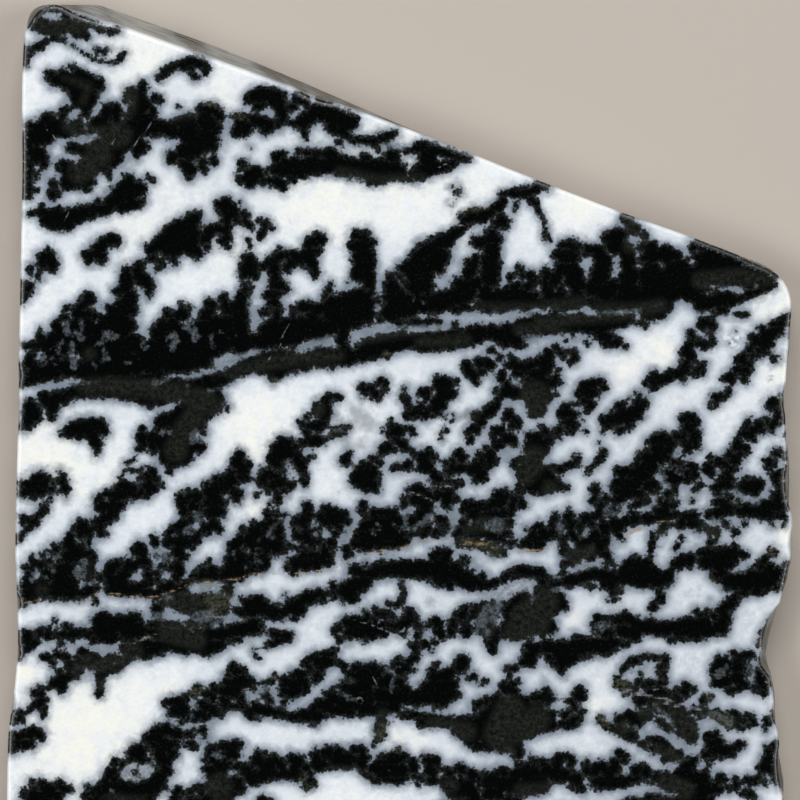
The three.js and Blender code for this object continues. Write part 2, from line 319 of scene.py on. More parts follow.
    (41.4,27.4,1, 42.4,26.8,1.1, 43.4,26.2,1, 44.3,25.4,.8, 44,26.9,.4, 44,27.4,.2),
    (41.6,28.8,1, 42.6,28.2,.8, 42.9,28.9,.6),
    (42,30.2,1, 43.6,30.4,1, 45.2,29.8,1, 46.8,29.2,1.1, 47.6,28.4,.8),
    (46.6,22,.7, 47.4,21.6,.7, 48.2,21.6,.7), (47.4,24.1,.4, 47.9,24.5,.4),
    (46.8,26.4,.5, 47.6,25.9,.4, 47,27.3,.7), (45.4,28.2,.4, 46.2,28.4,.6),
    (48,21.5,.7, 49,21.4,.5, 49.6,20.8,.5, 50.2,20.2,.5),
    (50.2,19.4,.2, 51.2,19.3,.4, 52.2,19.3,.5, 53.1,19.2,.5, 53.8,18.7,.35, 54.4,18.5,.25, 54.8,18.9,.15),
    (53.1,19.9,.4, 53.6,20.6,.25, 54,21.4,.15, 54.4,22.2,.12, 54.6,23,.15, 54.6,23.7,.25, 54.9,24.2,.12),
    (51.6,20.4,.2, 51.4,21,.15), (50.2,22.2,.8),
    (49.2,23.6,.8, 49.8,24,.5, 49.2,25,.8, 49,26.4,1, 49,27.8,1), (48.4,24.2,.6),
    (48.6,29.4,1, 50,29.8,1, 51.5,29.6,1, 53,30,.8), (50.8,28.8,.4, 51.8,28.6,.5), (51,27.8,.25),
    (52,27,.45, 52.2,27.6,.45), (53,27.6,.5, 53.4,28.2,.5, 52.8,28.6,.5), (53.6,29.4,.5),
    (56.4,24.5,.5, 57.2,24.5,.6, 57.8,24.8,.5), (55.6,25.4,.4, 56.4,25.6,.8, 57.2,25.8,.8),
    (54.6,27.2,.5, 54.6,28.2,.5, 55,29.4,.8),
    (55.4,28,.7, 56.2,26.8,.8, 57.2,27.2,1, 57.6,28.6,1, 56,29.8,.9, 57.8,30,.8),
    (58.8,25,.6, 59.8,25.2,.7, 60.4,26.2,.9, 60,27.4,1, 59.4,28.8,1, 60.6,29.4,1, 61.4,28.6,.8),
    (61,23.8,.8, 62,23.4,.7, 61.6,24.6,.9, 62.4,24.8,.8, 62.8,26,.8, 63.2,27.4,1, 62.6,28.8,1, 63.6,29.6,1,
     62,30,.8), (62.6,22,.6, 63.4,22.8,.6), (48,30.6,.6, 56,30.4,.6, 64,30.4,.6),
    (64.4,24.6,.6, 65.2,24.6,.5, 65.6,25,.4), (64.4,23.5,.4), (64.8,25.8,.8, 66.6,25.4,.8, 67.6,25.6,.7),
    (65,27.6,1.3, 67,27.4,1.5, 69,27.2,1.5, 71,26.8,1.7, 73,27,1.6, 75,27.6,1.2, 76.6,27.9,.8),
    (69.4,24.6,.5, 70.4,24.7,.5, 71.6,25.4,.6, 73,26,.6, 74.6,26.6,.5, 76,27.1,.4, 77.2,27.8,.4),
    (65,29.4,1.2, 66.6,29.2,1.2, 68.2,28.8,1, 70.2,29.8,.9, 71.6,30,1, 73,30,.7, 74,29.9,.4),
    (70,30.6,.5, 71.2,30.8,.5, 72.4,30.9,.5), (64.8,31.2,.9, 66,31.2,.7, 66.8,30.6,.5),
    (75.6,28.6,.6, 76.6,28.6,.5), (73.6,31.4,.15, 74.2,31.5,.25, 74.7,31.4,.12), (70.8,31.9,.4),
    (78.9,31.8,.5, 78,32,.2),
    # The third strip.
    (5.6,32.6,.5, 6,33.4,.8, 5,34.2,.9, 4.6,34.6,.7), (2.7,34.6,.35, 3.4,34.6,.45, 4.2,34.5,.6),
    (4,33,.15, 4.1,33.9,.4), (2.3,36.8,.5, 2.4,37.6,.6, 2.3,38.2,.45),
    (3.2,35.5,.5, 2.8,36.2,.5, 3.4,36.8,.8), (5.4,35.4,1, 4.8,36.8,1.1, 5.6,37,1, 4.4,37.1,1, 3.4,37.6,.9),
    (6.6,36.8,1, 8,37,.9, 10,36.8,1.2, 12,36.6,1.3, 14,36.2,1.2, 16,36,1.3),
    (7.4,32.6,.8, 8.4,34.4,1.2, 9,33.4,1.6, 9.4,35.4,1.4), (10.4,32.7,1.3, 12,32.8,1.4, 12.9,32.6,.7),
    (11.4,35,1.6, 13.2,34.4,1, 14.6,35,1, 16,35,1.6), (15.8,33.3,.8, 16.4,32.8,1), (6.3,34.8,.9),
    (6.8,33.8,.8), (3,40.6,.7, 3.2,41.4,1, 2.7,42.2,.7, 2.2,42.8,.3),
    (4.6,39.9,.8, 5.4,40.3,.8, 5.2,41.3,.5, 5.2,41.7,.3),
    (5.2,39.7,.5, 6,39.8,.7, 7,39.4,.6, 8,39.1,.7, 9.2,38.9,.8, 10.6,38.9,.9, 12,38.9,1, 13.4,39.1,1,
     14.6,39.4,.9, 16,39.4,1), (8.6,38,.4, 10,38,.4, 12,37.9,.5, 14,37.9,.5, 16,37.4,.5), (15.1,40.4,.35),
    (6.1,43.3,.2, 6.6,43.3,.4, 7.2,43,.75, 8,42.9,.95, 9,42.7,.85, 9.8,42.6,.75, 10.1,42.6,.65),
    (10.3,43.1,.5), (9.2,43.5,.7, 9.6,44.2,.5, 9.7,45,.3, 9.6,45.3,.2), (10.2,42.2,.3),
    (14.2,43.6,.55, 14.4,44.4,.6), (15.2,44,.8, 16,44.2,.9), (14.3,42.9,.3), (15.4,44.8,.6), (13.9,44.8,.3),
    (15.9,42.3,.5, 16,43,.5), (3.6,47.9,.6, 4.3,47.6,.5, 4.6,47.9,.5), (6,47.2,.15),
    (6.3,47.7,.4, 6.3,48,.4), (13.3,46.8,.3), (13.7,46.6,.2), (14,46.9,.3), (12.7,47,.1, 11.9,47.8,.08),
    (14.6,47.7,.5), (15.2,47.2,.55), (15.3,47.8,.6), (14.2,47.8,.4),
    (17,33,1, 17,34.8,1.4, 18.6,35.2,1.5, 20.2,34.8,1.6, 21.8,33.6,1.7, 23.4,33.4,1.6, 24,34.2,1.2),
    (17.2,32.2,.6, 18,34,1, 20.6,33,1.2, 22.4,32.6,1.2, 24,32.8,1), (16.8,36.4,1, 19,36.6,.6, 20.6,36,.7),
    (27,33.4,1.2, 28.6,33.2,1.2, 30.2,32.8,1, 31.4,33,1),
    (25.4,34.2,.8, 27.2,34.2,.6, 29.4,34,.6, 30.4,33.6,.5),
    (26.4,33,.6, 27.2,32.4,.5, 28.2,32.4,.6, 29.8,32.2,.6, 31.4,32.2,.6),
    (16,39,1.5, 18,39,1, 19.6,38.8,.9, 21,38.2,.7, 22.2,38,.6, 23,37.8,.5),
    (21.6,37.8,.5, 23,37.3,.6, 24.2,37,.6, 25.2,36.6,.6, 26.4,36.7,.7, 27.4,36.7,.9, 28.4,36.6,.8,
     29.6,36.4,.8, 30.8,36.1,.8, 32,35.8,.9), (24.6,36.3,.4, 26,35.9,.5, 28,35.6,.6, 29.2,35.5,.5),
    (27.3,37.6,.5, 27.3,38.1,.25), (28.1,37.3,.5), (16.4,42,.7, 18,42.2,1.3, 20,40.6,1.5, 21.3,40.3,1.1),
    (21.6,40,.9), (22.7,40.7,.25), (19.4,42,1.2), (17,44,1.3, 18.6,44.6,1.1, 19.8,44.8,.6, 20.2,44.7,.35),
    (17,45.4,1.2, 18.4,45.4,1, 17.2,46.4,.6, 16.9,47.1,.25), (20.4,43.3,.3), (18.6,43.2,.8, 16.6,43.4,.8),
    (23.9,45.3,.3, 24,45.8,.6, 23.7,46.4,.7, 24.2,46.8,.7, 24.3,47.6,.7), (23.1,47.3,.4),
    (22.2,47.9,.5, 21.6,48,.4), (23.2,48,.8), (24.9,46.5,.25), (28.3,44.2,.6, 29,44.2,.5),
    (27.9,45,.8, 28.8,45.2,.9), (27.6,46,.9, 28,46.6,.6), (29.6,45.6,.7, 30,46.3,.6),
    (30.2,47,.5, 30.6,47.6,.3), (29.5,44.5,.3), (30.2,44.3,.3, 30.8,44.2,.5, 31.4,44,.6, 32,44.1,.5),
    (30.9,45.8,.2, 31.3,45.7,.12), (30.1,42.2,.3, 30.6,42.6,.4, 31.2,42.6,.4, 32,42.4,.6),
    (30.7,43.2,.4, 30.9,43.7,.3), (30.6,41.7,.2), (31.4,41.4,.2, 31.7,40.4,.2, 32,40.3,.2), (31.8,41.5,.3),
    (26.2,46.9,.15), (26.2,47.6,.5, 27,47.5,.5, 27.8,47.6,.5), (25.9,48,.3), (28.4,47.2,.3),
    (32,32.8,1, 33.2,32.6,.9, 34.2,32.4,.8, 35.6,32.3,.5, 37,32.2,.3), (34.2,33.6,.7, 34.4,34.4,.5),
    (32,35.7,1, 33.2,35.7,.9, 34.6,35.6,.9, 36,35.3,.85, 37.2,35,.9, 38.2,34.6,1, 39.6,34.2,1, 41,34.1,.8,
     42.6,34.2,.9, 44.2,34.1,.9, 45.6,33.9,.9, 47,33.6,.9, 48,33.3,.9), (36.9,34.1,.5), (38.6,35,.7),
    (33.2,36.6,.3), (40,32.3,.3, 42,32.2,.25, 44,32.2,.25), (45.5,32.5,.35),
    (33,39.6,.35, 33.7,39.7,.3, 34,39.8,.2), (32.6,40.2,.5, 32.5,41,.6, 32.3,42,.6, 32,42.7,.5),
    (34.8,45.5,.35, 34.6,46,.5, 34.2,46.1,.3), (35.1,46.4,.15), (36.3,38.7,.4, 36.4,39.3,.4),
    (37.1,38.8,.4, 37.4,39.3,.5, 37.7,39.7,.4), (38.2,38.1,.45, 38.6,38.2,.25), (37.9,38.4,.3),
    (38.3,39.1,.3, 38.6,39,.15), (40.5,38.9,.2), (40.3,39.7,.35, 40.7,40,.35, 40.8,40.5,.3),
    (42.2,39.3,.45, 42.8,39.2,.4, 42.7,39.8,.4), (44,38.3,.7, 44.6,38.6,.8, 45.2,38.3,.5, 45.5,38.1,.3),
    (44.4,39.4,1, 45.4,39.3,.35), (43.8,40.4,.9, 43.4,41,.6), (44,41.3,.3), (42,40.5,.3),
    (41.2,41.3,.5, 41.8,41.1,.6, 42.4,41.5,.5, 42.8,41.2,.5), (40.7,41.6,.35), (42.4,42,.15), (45,41.8,.3),
    (39.1,42.1,.15), (39.2,42.7,.5, 39,43.2,.5, 39.8,43.2,.7, 40.4,42.9,.4), (41.1,43,.35, 41.3,43.4,.2),
    (39.7,44,.6, 40.3,44.4,.55, 40.6,44.9,.35), (38.9,44.6,.5, 38.3,44.9,.5, 39.4,44.9,.3), (38.3,43,.12),
    (37.6,45.9,.4, 37,45.9,.2, 38,46.2,.3), (36.4,46.7,.5, 36.9,46.6,.5), (36.1,47.4,.8, 37.2,47.4,.8),
    (35.4,47.7,.4), (41.3,45.3,.3), (42.2,45.7,.6, 42.9,45.4,.5, 43.3,45.7,.4), (42.5,46.4,.9),
    (41,46.5,.4, 40.2,46.7,.3, 39.5,46.8,.3, 39.2,47,.15), (43.2,47.3,.4, 43.8,47.8,.6), (44.6,46.3,.35),
    (45.2,46,.3), (45.9,45.5,.6, 46.3,45.8,.5), (45.2,46.9,.6, 45.8,46.8,.6, 46.3,46.8,.4), (44.8,47,.3),
    (47.8,45.5,.35, 48,45.8,.4), (47.2,46.9,.6, 47.8,46.6,.8, 48,47.4,.8),
    (46.7,36.6,.5, 47,37.2,.6, 47.5,37.6,.5, 47.6,38,.4), (47.9,36.2,.5),
    (47.4,41.5,.3, 47.8,41.6,.5, 48,42.2,.5), (47.2,42.9,.4, 46.8,43.2,.4, 46.7,43.5,.2), (47.6,43,.5),
    (47.1,43.8,.3, 47,44.2,.2), (49.4,33.3,.9, 50.8,33.6,1, 51.8,34,.8), (50.6,34.3,.5),
    (50,32.9,.4, 52,32.6,.7, 54,32.5,1, 56,32.3,1, 58,32.3,1, 60,32.3,1.1, 61.4,32.2,.8, 63,31.9,.45),
    (52.6,33.2,.5, 53.6,33.2,.4), (59.8,33.2,.6, 60.6,33.6,.7, 61.3,34.2,.6, 60.8,34.2,.6, 61.8,34.2,.4),
    (62.5,34.7,.2), (56.7,34,.15), (57.4,33.9,.15), (58.8,34.3,.25), (49,35.1,.3),
    (49.6,35.3,.2, 50.1,35.7,.25), (50.9,35.6,.25), (51,35.9,.15), (48.6,36.2,.5, 49,36.5,.5),
    (48.2,37.2,.5), (52.4,34.4,.3),
    (50.8,36.5,.4, 51.5,36.6,.6, 52.4,36.7,.6, 53.4,36.4,.6, 54.4,36.2,.7, 54.9,35.6,.6, 54.6,35.2,.4),
    (50.2,37.4,.4, 50.1,37.9,.4), (51.4,37.3,.4, 52.4,37.4,.5), (53.4,37.4,.8, 54.4,37.3,.7, 55,36.4,.5),
    (55.5,37.8,.55, 55.8,38.2,.4), (55.2,38.2,.6),
    (53.2,38.6,.9, 54.2,38.6,1, 53.6,39.8,1.2, 53.7,40.6,1, 53.4,41.2,.5), (54.6,39.6,.6),
    (50.7,38.7,.5, 51.3,39.2,.6, 52,39.4,.5, 50.4,39.4,.5, 49.8,40,.4, 49.5,40.7,.5, 48.8,41.2,.6,
     48.3,41.6,.5), (49.6,39.1,.3), (52.2,38.2,.3), (55.5,39.3,.25), (55.6,36.9,.15), (55.9,37,.1),
    (55.6,34.8,.4, 55.9,35.2,.3), (56.5,35.4,.3, 56.4,35.8,.2),
    (57.4,35.3,.45, 57.4,35.8,.45, 57.1,36.2,.3), (56.6,34.9,.1),
    (58.4,38.6,.5, 59.2,38.5,.6, 60,38.2,.5, 60.2,38.7,.45), (57.9,39.4,.5, 58.8,39.3,.6, 59.6,39.2,.6),
    (58.4,40,.5, 59,40.4,.5, 58.7,40.9,.35), (57.5,40.4,.3),
    (56.6,40.8,.5, 56.3,41.4,.6, 57,41.4,.6, 57.6,41.4,.4), (56.6,42.2,.6, 57.3,42.2,.5, 57.4,42.8,.4),
    (56.8,43,.4), (58.1,42,.15), (55.8,43,.4, 55.6,43.5,.4), (55.9,43.8,.2), (54.2,42.7,.2, 54.6,43.2,.35),
    (53.2,43.8,.6, 53.8,43.7,.5), (53.2,44.6,.8, 54.2,44.4,.8), (54.8,44,.5, 55.1,43.9,.3),
    (53.4,45.4,.9, 54.2,45.2,.6), (52.6,46.2,.8, 53.4,46.4,.8), (51.5,46.3,.4, 51.4,46.6,.35),
    (52.4,47.2,.8, 53.6,47.4,.8, 54.6,47.2,.7, 55,47.6,.6),
    (55.6,47,.4, 56.4,46.8,.35, 57.2,46.5,.4, 57.7,46.3,.35, 57.6,45.8,.35), (58,46.3,.1), (55,46.7,.3),
    (50.9,41.3,.4, 50.8,41.7,.5, 51.5,41.9,.45, 51.8,42.3,.4, 51.9,42.8,.2), (51.1,42.6,.25),
    (50.4,41.9,.3), (49.5,43.2,.5, 50.2,43.2,.5), (50.6,43.8,.7, 51.2,43.8,.5, 51.4,44.3,.4),
    (49.4,43.8,.3), (49.4,44.6,.4, 50.2,44.4,.4), (49.1,45.3,.6, 49.1,46,.6, 48.6,46.6,.5, 48.3,46,.6),
    (48.2,47.2,.5), (48.6,44.7,.2), (48.1,42.9,.15), (48.3,41.9,.4), (58.5,43.1,.15), (60.2,43.2,.2),
    (59.8,44.3,.1), (60.3,45.2,.35, 60.1,45.8,.3, 59.8,46.4,.25, 59.2,46.6,.25, 59.1,46.9,.2),
    (58.7,47.4,.1), (61,42,.7, 61.8,41.8,.8, 62.8,41.6,.9, 63.6,41.3,.8, 64,40.8,.6),
    (60.4,42.2,.4, 60.3,41.9,.35), (61.2,41.2,.3), (62.2,40.6,.4, 61.8,40.6,.3), (61,42.6,.4),
    (61.8,43.1,.3, 62.1,43,.3), (62.8,42.4,.5), (63.7,39.3,.2),
    (61.8,47.1,.4, 62.2,47.3,.6, 63.2,47.3,.7, 64,47.4,.9), (63.6,46.7,.3), (64,45.8,.4), (64,46.4,.3),
    (64.2,32.3,.4, 64.6,32.6,.2), (70.4,32.4,.6, 71,32.5,.6, 71.3,32.9,.4), (70.9,33.4,.4, 71.2,33.9,.3),
    (70,34.3,.5, 70.8,34.4,.4, 71.4,34.3,.2), (69,33.1,.3, 69.2,33.8,.4), (69,34.6,.6, 68.6,35,.4),
    (68.8,35.4,.7, 69.1,36,.5, 68.6,36.2,.6, 68.6,36.9,.7),
    (67.9,37.4,.6, 67.2,37.5,.5, 66.5,37.8,.5, 65.8,38.2,.5), (65.4,37.4,.4, 65.3,38.1,.6, 65.4,38.5,.5),
    (64.7,38.4,.3), (69.4,37.2,.4, 70,36.9,.4, 70.4,36.5,.3, 70.3,37.3,.2), (68.4,37.9,.3),
    (64.5,40.2,.35, 64.2,40.7,.4, 64,41,.4), (64.7,39.8,.2),
    (76.2,33,.5, 76.6,33.6,.7, 77.4,33.2,.7, 78.2,32.9,.5), (77.2,32.4,.3, 78.4,32.4,.35, 79,32.5,.2),
    (75.3,33.7,.4, 76,34.2,.7, 76.9,34.4,.5), (75.3,34.6,.5, 75,34.9,.4), (75.9,35.2,.6, 76.7,35.2,.3),
    (78.6,33.5,.12), (75.2,35.6,.4), (74.4,35.8,.5, 74,36.1,.5, 74.8,36.3,.5),
    (73.6,37,.5, 74.4,37.1,.6, 74.9,37,.35), (73,37.8,.6, 72.5,37.8,.35), (73.2,38.1,.4),
    (74.4,37.9,.4, 74.6,38.2,.15), (72.8,39.2,.4, 72.7,39.5,.25),
    (71.4,39.6,.3, 71.9,39.7,.4, 71.6,40.1,.4), (71.1,40.3,.25, 71.1,40.7,.15),
    (77.4,35.8,.3, 77.5,36.1,.2), (78,35.7,.1), (78.4,39.5,.3), (77.2,40.2,.4, 76.9,40.6,.4), (77.4,41,.4),
    (77.8,40.3,.4), (78,41.2,.5, 77.9,41.8,.6), (78.4,41.6,.3), (77.4,42.4,.4, 77.2,43,.35),
    (76.8,42.4,.3, 76.6,41.9,.25), (74.9,42.1,.3, 74.8,42.6,.4, 75.4,42.9,.6, 76,42.5,.6, 76.2,42,.2),
    (76.2,43,.4), (74.3,43.4,.4, 75,43.5,.6, 75.3,43.9,.3),
    (73.8,44,.3, 73.6,44.6,.4, 74.4,44.9,.4, 74.7,45.1,.25), (73.2,45.3,.5, 72.7,45.6,.35),
    (74,45.5,.5, 73.4,46,.6), (71.7,46.2,.5, 72.5,46.4,.5),
    (71.2,46.4,.4, 70.8,46.9,.5, 70.4,47,.35, 71.2,47.3,.4), (73.3,46.8,.5, 72.8,47.2,.4, 73,47.8,.5),
    (72.2,47.7,.4), (71,45.8,.2), (78.7,43.5,.2), (77.5,45.3,.4, 78.2,45.4,.4), (78.5,45.9,.2),
    (77,46.2,.4, 76.6,46.1,.2), (77.2,46.6,.35, 76.7,46.7,.2), (77.4,47.5,.4, 78.4,47.3,.4), (77.6,47.9,.4),
    (78.6,46.9,.2), (74.5,47.9,.3), (68.4,41.9,.5, 69.2,41.8,.5, 69.5,42.3,.5),
    (69,42.8,.6, 69.6,43.2,.5, 69.4,44,.6, 69.7,44.6,.4), (68.9,44.4,.5, 68.9,45,.4, 68.4,45.4,.25),
    (68,43.5,.4, 67.6,43.7,.4), (67.2,44.3,.5), (65.4,44.1,.5, 66.2,43.8,.7, 66.8,44.2,.6), (64.8,44.1,.25),
    (65.6,45,.7, 66.8,45,.6), (64.6,45.6,.7, 65.4,46,1, 64.6,47,1), (66.6,45.6,.5),
    (67.2,46.2,.3, 68,46.4,.3, 68.8,46.6,.4, 69.3,47,.5, 69.5,47.6,.5), (67,47.5,.8, 68.4,47.6,.8),
    # The fourth strip.
    (2.1,48.5,.4), (2.8,48.5,.5, 3.6,48.4,.6, 4.4,48.4,.6, 4.8,48.8,.4),
    (2.4,49.2,.5, 3.4,49.2,.5, 4.4,49.1,.4, 5.2,48.9,.4), (3.4,49.7,.3), (2,49.5,.3), (5.4,48.5,.25),
    (6.4,48.3,.4, 6.5,49,.35, 6.6,49.5,.2), (6,49,.2),
    (5,49.7,.2, 4.8,50.3,.25, 4.2,50.9,.35, 3.8,51.6,.4, 3.4,52.2,.4, 2.9,52.7,.3, 2.5,53.1,.2,
     2.1,53.6,.25, 1.8,54,.2), (4.5,51,.25), (2.2,51.7,.25, 2.5,52,.3, 2.9,52.1,.25), (2.2,52.3,.2),
    (5.4,54.6,.3, 5.5,55.1,.5), (4.7,55.1,.2), (4.3,55.8,.35), (3.2,55.8,.3), (3.4,56.4,.4, 4.2,56.4,.5),
    (2.5,56.7,.25, 3.2,56.8,.3), (4.8,56.2,.5), (7,53.6,.4, 6.9,54.4,.7, 7.4,54.9,.8),
    (7.6,52.9,.4, 8.2,52.6,.6, 8,52.2,.4), (8.2,53.3,.6, 8.9,53,.6, 8.9,53.6,.5), (9.2,52.2,.3),
    (9.9,52.2,.5, 10,52.9,.5, 10.2,53.5,.3), (10.6,53.4,.2), (10.6,51.8,.6, 11.2,51.4,.7),
    (9.7,50.6,.4, 10.3,50.8,.6, 11.2,50.6,.8), (9.6,50,.3, 10.2,49.7,.3, 10.8,49.5,.5),
    (11.6,49.6,.8, 12.4,49.4,.8), (11.9,48.9,.5, 12.4,48.5,.5, 13.2,48.9,.6), (13.4,49.6,.5, 14,49.2,.5),
    (14.8,48.6,.7, 15.2,48.9,.5, 14.6,49.5,.4), (15.6,48.6,.3), (11.8,50.6,.6, 12.3,50.2,.3),
    (7,55.6,.9, 8.2,55.4,.6, 9.2,55.4,.4), (9.3,55.8,.4, 9.5,56.1,.2), (8.6,56.2,.8, 8.8,57,.7),
    (8.6,57.7,.5, 9.1,57.8,.3), (7,56.8,.8, 7.4,57.6,.5), (6,56.2,.4, 6.2,57.2,.7), (5.9,58,.9, 7,58.4,.9),
    (4.8,57.2,.5, 4.6,58,.5, 4.2,58.2,.5), (2.9,57.4,.4, 2.8,58.2,.5),
    (3.6,58.8,.8, 4.6,59,.9, 2.2,58.9,.5), (2.4,59.6,.6, 3.2,59.5,.6),
    (5.6,59.2,.8, 6.8,59.3,.7, 8,59.4,.6, 8.9,59.1,.5, 9.6,58.8,.3), (2.2,60.3,.3, 2.8,60,.3),
    (9.4,59.8,.2, 9.5,60.2,.2), (8.7,54.3,.5), (9.8,57.6,.2, 10.2,57.8,.3),
    (11,57.2,.7, 11.4,56.6,.6, 12,56.3,.4), (10.6,57.6,.4), (11.2,58.2,.8, 12.2,57.6,.7),
    (12.8,56.4,.6, 12.6,57,.6), (13.4,56.6,.5, 13.2,57.4,.4), (14,54.6,.5, 13.6,55.2,.5, 14.4,55.2,.5),
    (13.2,55,.15), (14.2,56.2,.6, 14.9,56.4,.4), (12,58.6,.8, 13.4,58.9,.7, 14.2,58.6,.5),
    (15.4,53.9,.4, 15.6,54.4,.4), (14.8,57.6,.5, 15,58.4,.4), (15.6,55.6,.2), (15.8,57.2,.3, 15.8,58.2,.3),
    (10.8,58.9,.4, 12.6,59.3,.4), (14.4,59.2,.4, 15.4,59.4,.5, 16,59.3,.5), (10,61.6,.4, 10.8,61.8,.4),
    (9.5,62.1,.5), (10.2,62.4,1, 11.4,62.4,.9, 12.4,62.3,.9), (12.8,61.9,.6, 13.5,61.9,.6, 14,62.1,.4),
    (12.8,63,1.2, 14,63,.8), (9.6,63.2,.7, 11,63.4,1), (15.6,60.8,.45, 16,60.8,.5), (15.6,61.6,.4),
    (15,62.6,.4, 15.8,62.6,.6), (15,63.2,.6), (2.2,63.5,.4, 2.9,63.3,.35, 2.6,63.9,.5),
    (3.9,63.3,.5, 4.2,63,.4, 3.6,63.8,.4), (4.9,62.8,.25), (4.8,63.5,.5), (5.6,63.4,.4, 5.6,63,.2),
    (6.5,62.9,.45, 7,63,.45), (6.3,63.4,.5, 7.4,63.4,.45, 8.4,63.2,.5, 8.2,62.9,.3), (8.8,63.4,.4),
    (5.6,62,.12), (10.7,61.2,.1), (16.2,48.5,.25), (18,49.6,.35, 18.2,50.3,.45, 18.4,51,.45, 18.4,51.4,.4),
    (18.8,49.2,.3, 18.9,49.8,.5), (19.8,49.6,.6, 19.4,50.6,.7),
    (20.6,48.6,.5, 20.8,49.2,.7, 21.8,48.7,.8, 22.8,48.6,.6, 23.6,48.2,.4), (21.4,50,.9, 22.2,50.2,.5),
    (21,51.1,.8, 22,51.1,.6), (22.4,51.6,.25), (23.4,49.2,.6, 23.9,49.4,.5, 24.2,49.2,.25),
    (23.6,50,.3, 23.9,50.2,.2), (22.6,49.2,.3), (20.4,50.4,.6), (19,52,.45, 18.2,52.4,.5, 17.5,52.9,.45),
    (17.1,53.4,.5, 17,54,.6), (16.6,54.4,.3), (17.8,54.2,.7, 18.6,54.3,.7, 19.2,54.2,.5),
    (20,53.2,.5, 19.6,53.8,.5), (18.6,53.2,.8), (20.6,52.8,.6, 21.4,52.6,.6, 21.9,53,.35), (20.9,53.3,.3),
    (17.8,55,.7, 18.2,55.8,.6), (17.8,56.4,.5, 18.1,57.2,.5, 17.6,57.8,.5), (18.4,58.1,.3), (19.2,54.7,.3),
    (19.6,51.6,.5), (16.4,56.7,.4), (17.2,58.5,.5, 16.4,58.6,.5, 17.4,59,.4), (17.2,56.8,.5),
    (16.6,55.6,.3), (24.4,53.1,.45), (24,54,.6, 23.4,54.6,.6, 23.2,55,.5),
    (24.9,54.2,.8, 25.6,53.2,.8, 25.6,52.6,.4), (25.3,52.4,.3), (26.4,52.6,.5, 27.2,52.1,.4),
    (26.7,51.3,.3, 26.9,51.7,.4, 27.6,51.4,.35, 27.7,52,.4), (27.9,52.9,.5, 27.9,53.6,.6),
    (26.6,54.2,.9, 27.6,54.6,.8), (25.6,54.8,.8), (24,55.6,.7, 24.4,56.4,.8), (27,53.2,.6), (25.2,55.8,.6),
    (23.1,55.9,.5, 23.3,56.6,.8), (22.6,55.9,.3), (22.6,57.2,.6, 23.8,57.3,.8), (24.5,57.2,.5),
    (26,56.7,.6, 26.5,56.4,.5, 26.4,55.6,.6), (25.4,56.7,.6), (27.2,55.2,.4, 27.6,55.3,.3), (20.8,56.3,.3),
    (21.4,57.2,.7, 20.2,57.2,.5, 19.9,56.9,.3), (19.7,57.6,.5, 20.8,57.6,.45, 22.4,57.7,.5), (23.2,58.1,.3),
    (19.2,57.7,.3), (18.9,58.2,.3), (28.3,51.6,.3), (26.9,50.4,.1),
    (26.2,48.2,.5, 26.8,48.6,.5, 26.9,49,.3), (27.6,48.3,.7, 28.6,48.3,.6, 29.1,48.5,.4),
    (27.7,49.3,.4, 27.8,50,.35, 27.6,50.3,.15), (28.4,49,.4), (28.7,49.3,.15), (25.6,49.5,.15),
    (30.5,48.5,.2, 30.3,48.1,.2), (30.7,50.6,.45, 30.6,51.2,.5), (30.4,51.9,.7, 30.9,51.6,.5),
    (29.3,52.4,.4, 29.7,52.1,.4), (29.5,53.2,.35, 29.8,53.8,.35), (30.6,53.1,.5, 30.8,53.9,.7),
    (31.2,54.5,.5), (31.7,51.6,.3, 32,51.9,.3), (31.6,52.9,.2, 32,52.9,.25), (31.8,54.2,.4),
    (28.9,54.5,.2, 29.3,54.7,.2, 30,54.9,.2, 31,55,.3), (28.5,55,.4), (30.6,55.6,.7, 31.6,55.5,.7),
    (29.6,56.3,.7, 30.6,56.4,.6, 31.6,56.3,.7), (29.4,57.1,.4), (28.7,56.1,.15, 28.7,56.8,.2),
    (22.8,58.9,.5, 22.9,59.3,.35), (16.4,60.4,.4), (16.5,62.4,.4, 18,62.6,.3),
    (16,63.4,.8, 18,63.5,.7, 20,63.5,.6, 22,63.4,.7, 24,63,.8, 25.6,62.6,.8, 26.2,62.8,.4), (21.2,62.3,.2),
    (24.2,60,.35, 24,59.9,.2), (25.2,60.4,.8, 26,60.6,1, 25,61,.9), (23.6,61,.4, 24.2,61.2,.5),
    (26.6,61.2,.7, 27.6,61.1,.75), (28.2,61.4,.5, 29,60.8,.8, 30,60.3,.7, 31,59.7,.7, 31.8,59.4,.6),
    (28.6,60.8,.5), (29.5,61.6,.4, 30.2,60.9,.5), (31.4,60.1,.4), (27,61.7,.2, 28,61.8,.2),
    (27.3,63.5,.4, 28,63.7,.3), (28.5,63.5,.4, 29,63.6,.4), (28.5,59.5,.12),
    (35.4,48.2,.4, 36.4,48.3,.7, 37.3,48.4,.7, 37.6,48.9,.4, 37.8,49.2,.2), (36.6,48.9,.4),
    (36.3,50.5,.35, 36.1,51,.4), (32.6,51,.5, 33.2,51.2,.6), (32.6,51.9,.8, 33.8,51.8,.8, 34.4,51.6,.4),
    (34.9,52.3,.35), (33,52.6,.5), (33.6,53.4,.4), (34,52.9,.5), (37.4,51.3,.5, 38.4,51.3,.5, 39.4,51.4,.5),
    (36.6,51.7,.4), (36.6,52.6,.7, 37.6,52.4,.8, 38.8,52.4,.8, 39.8,52.2,.6),
    (36.2,53.6,.7, 37.4,53.8,.9, 38.8,53.6,.9, 40,53.4,.8),
    (35.6,54.4,.6, 36.8,54.4,.6, 38.2,54.4,.55, 39.4,54.2,.6, 40.4,54,.6), (35.8,53,.2),
    (40.4,50.4,.5, 40.4,50,.3), (41.4,50,.6, 42.4,50.4,.8, 43.2,50.6,.4),
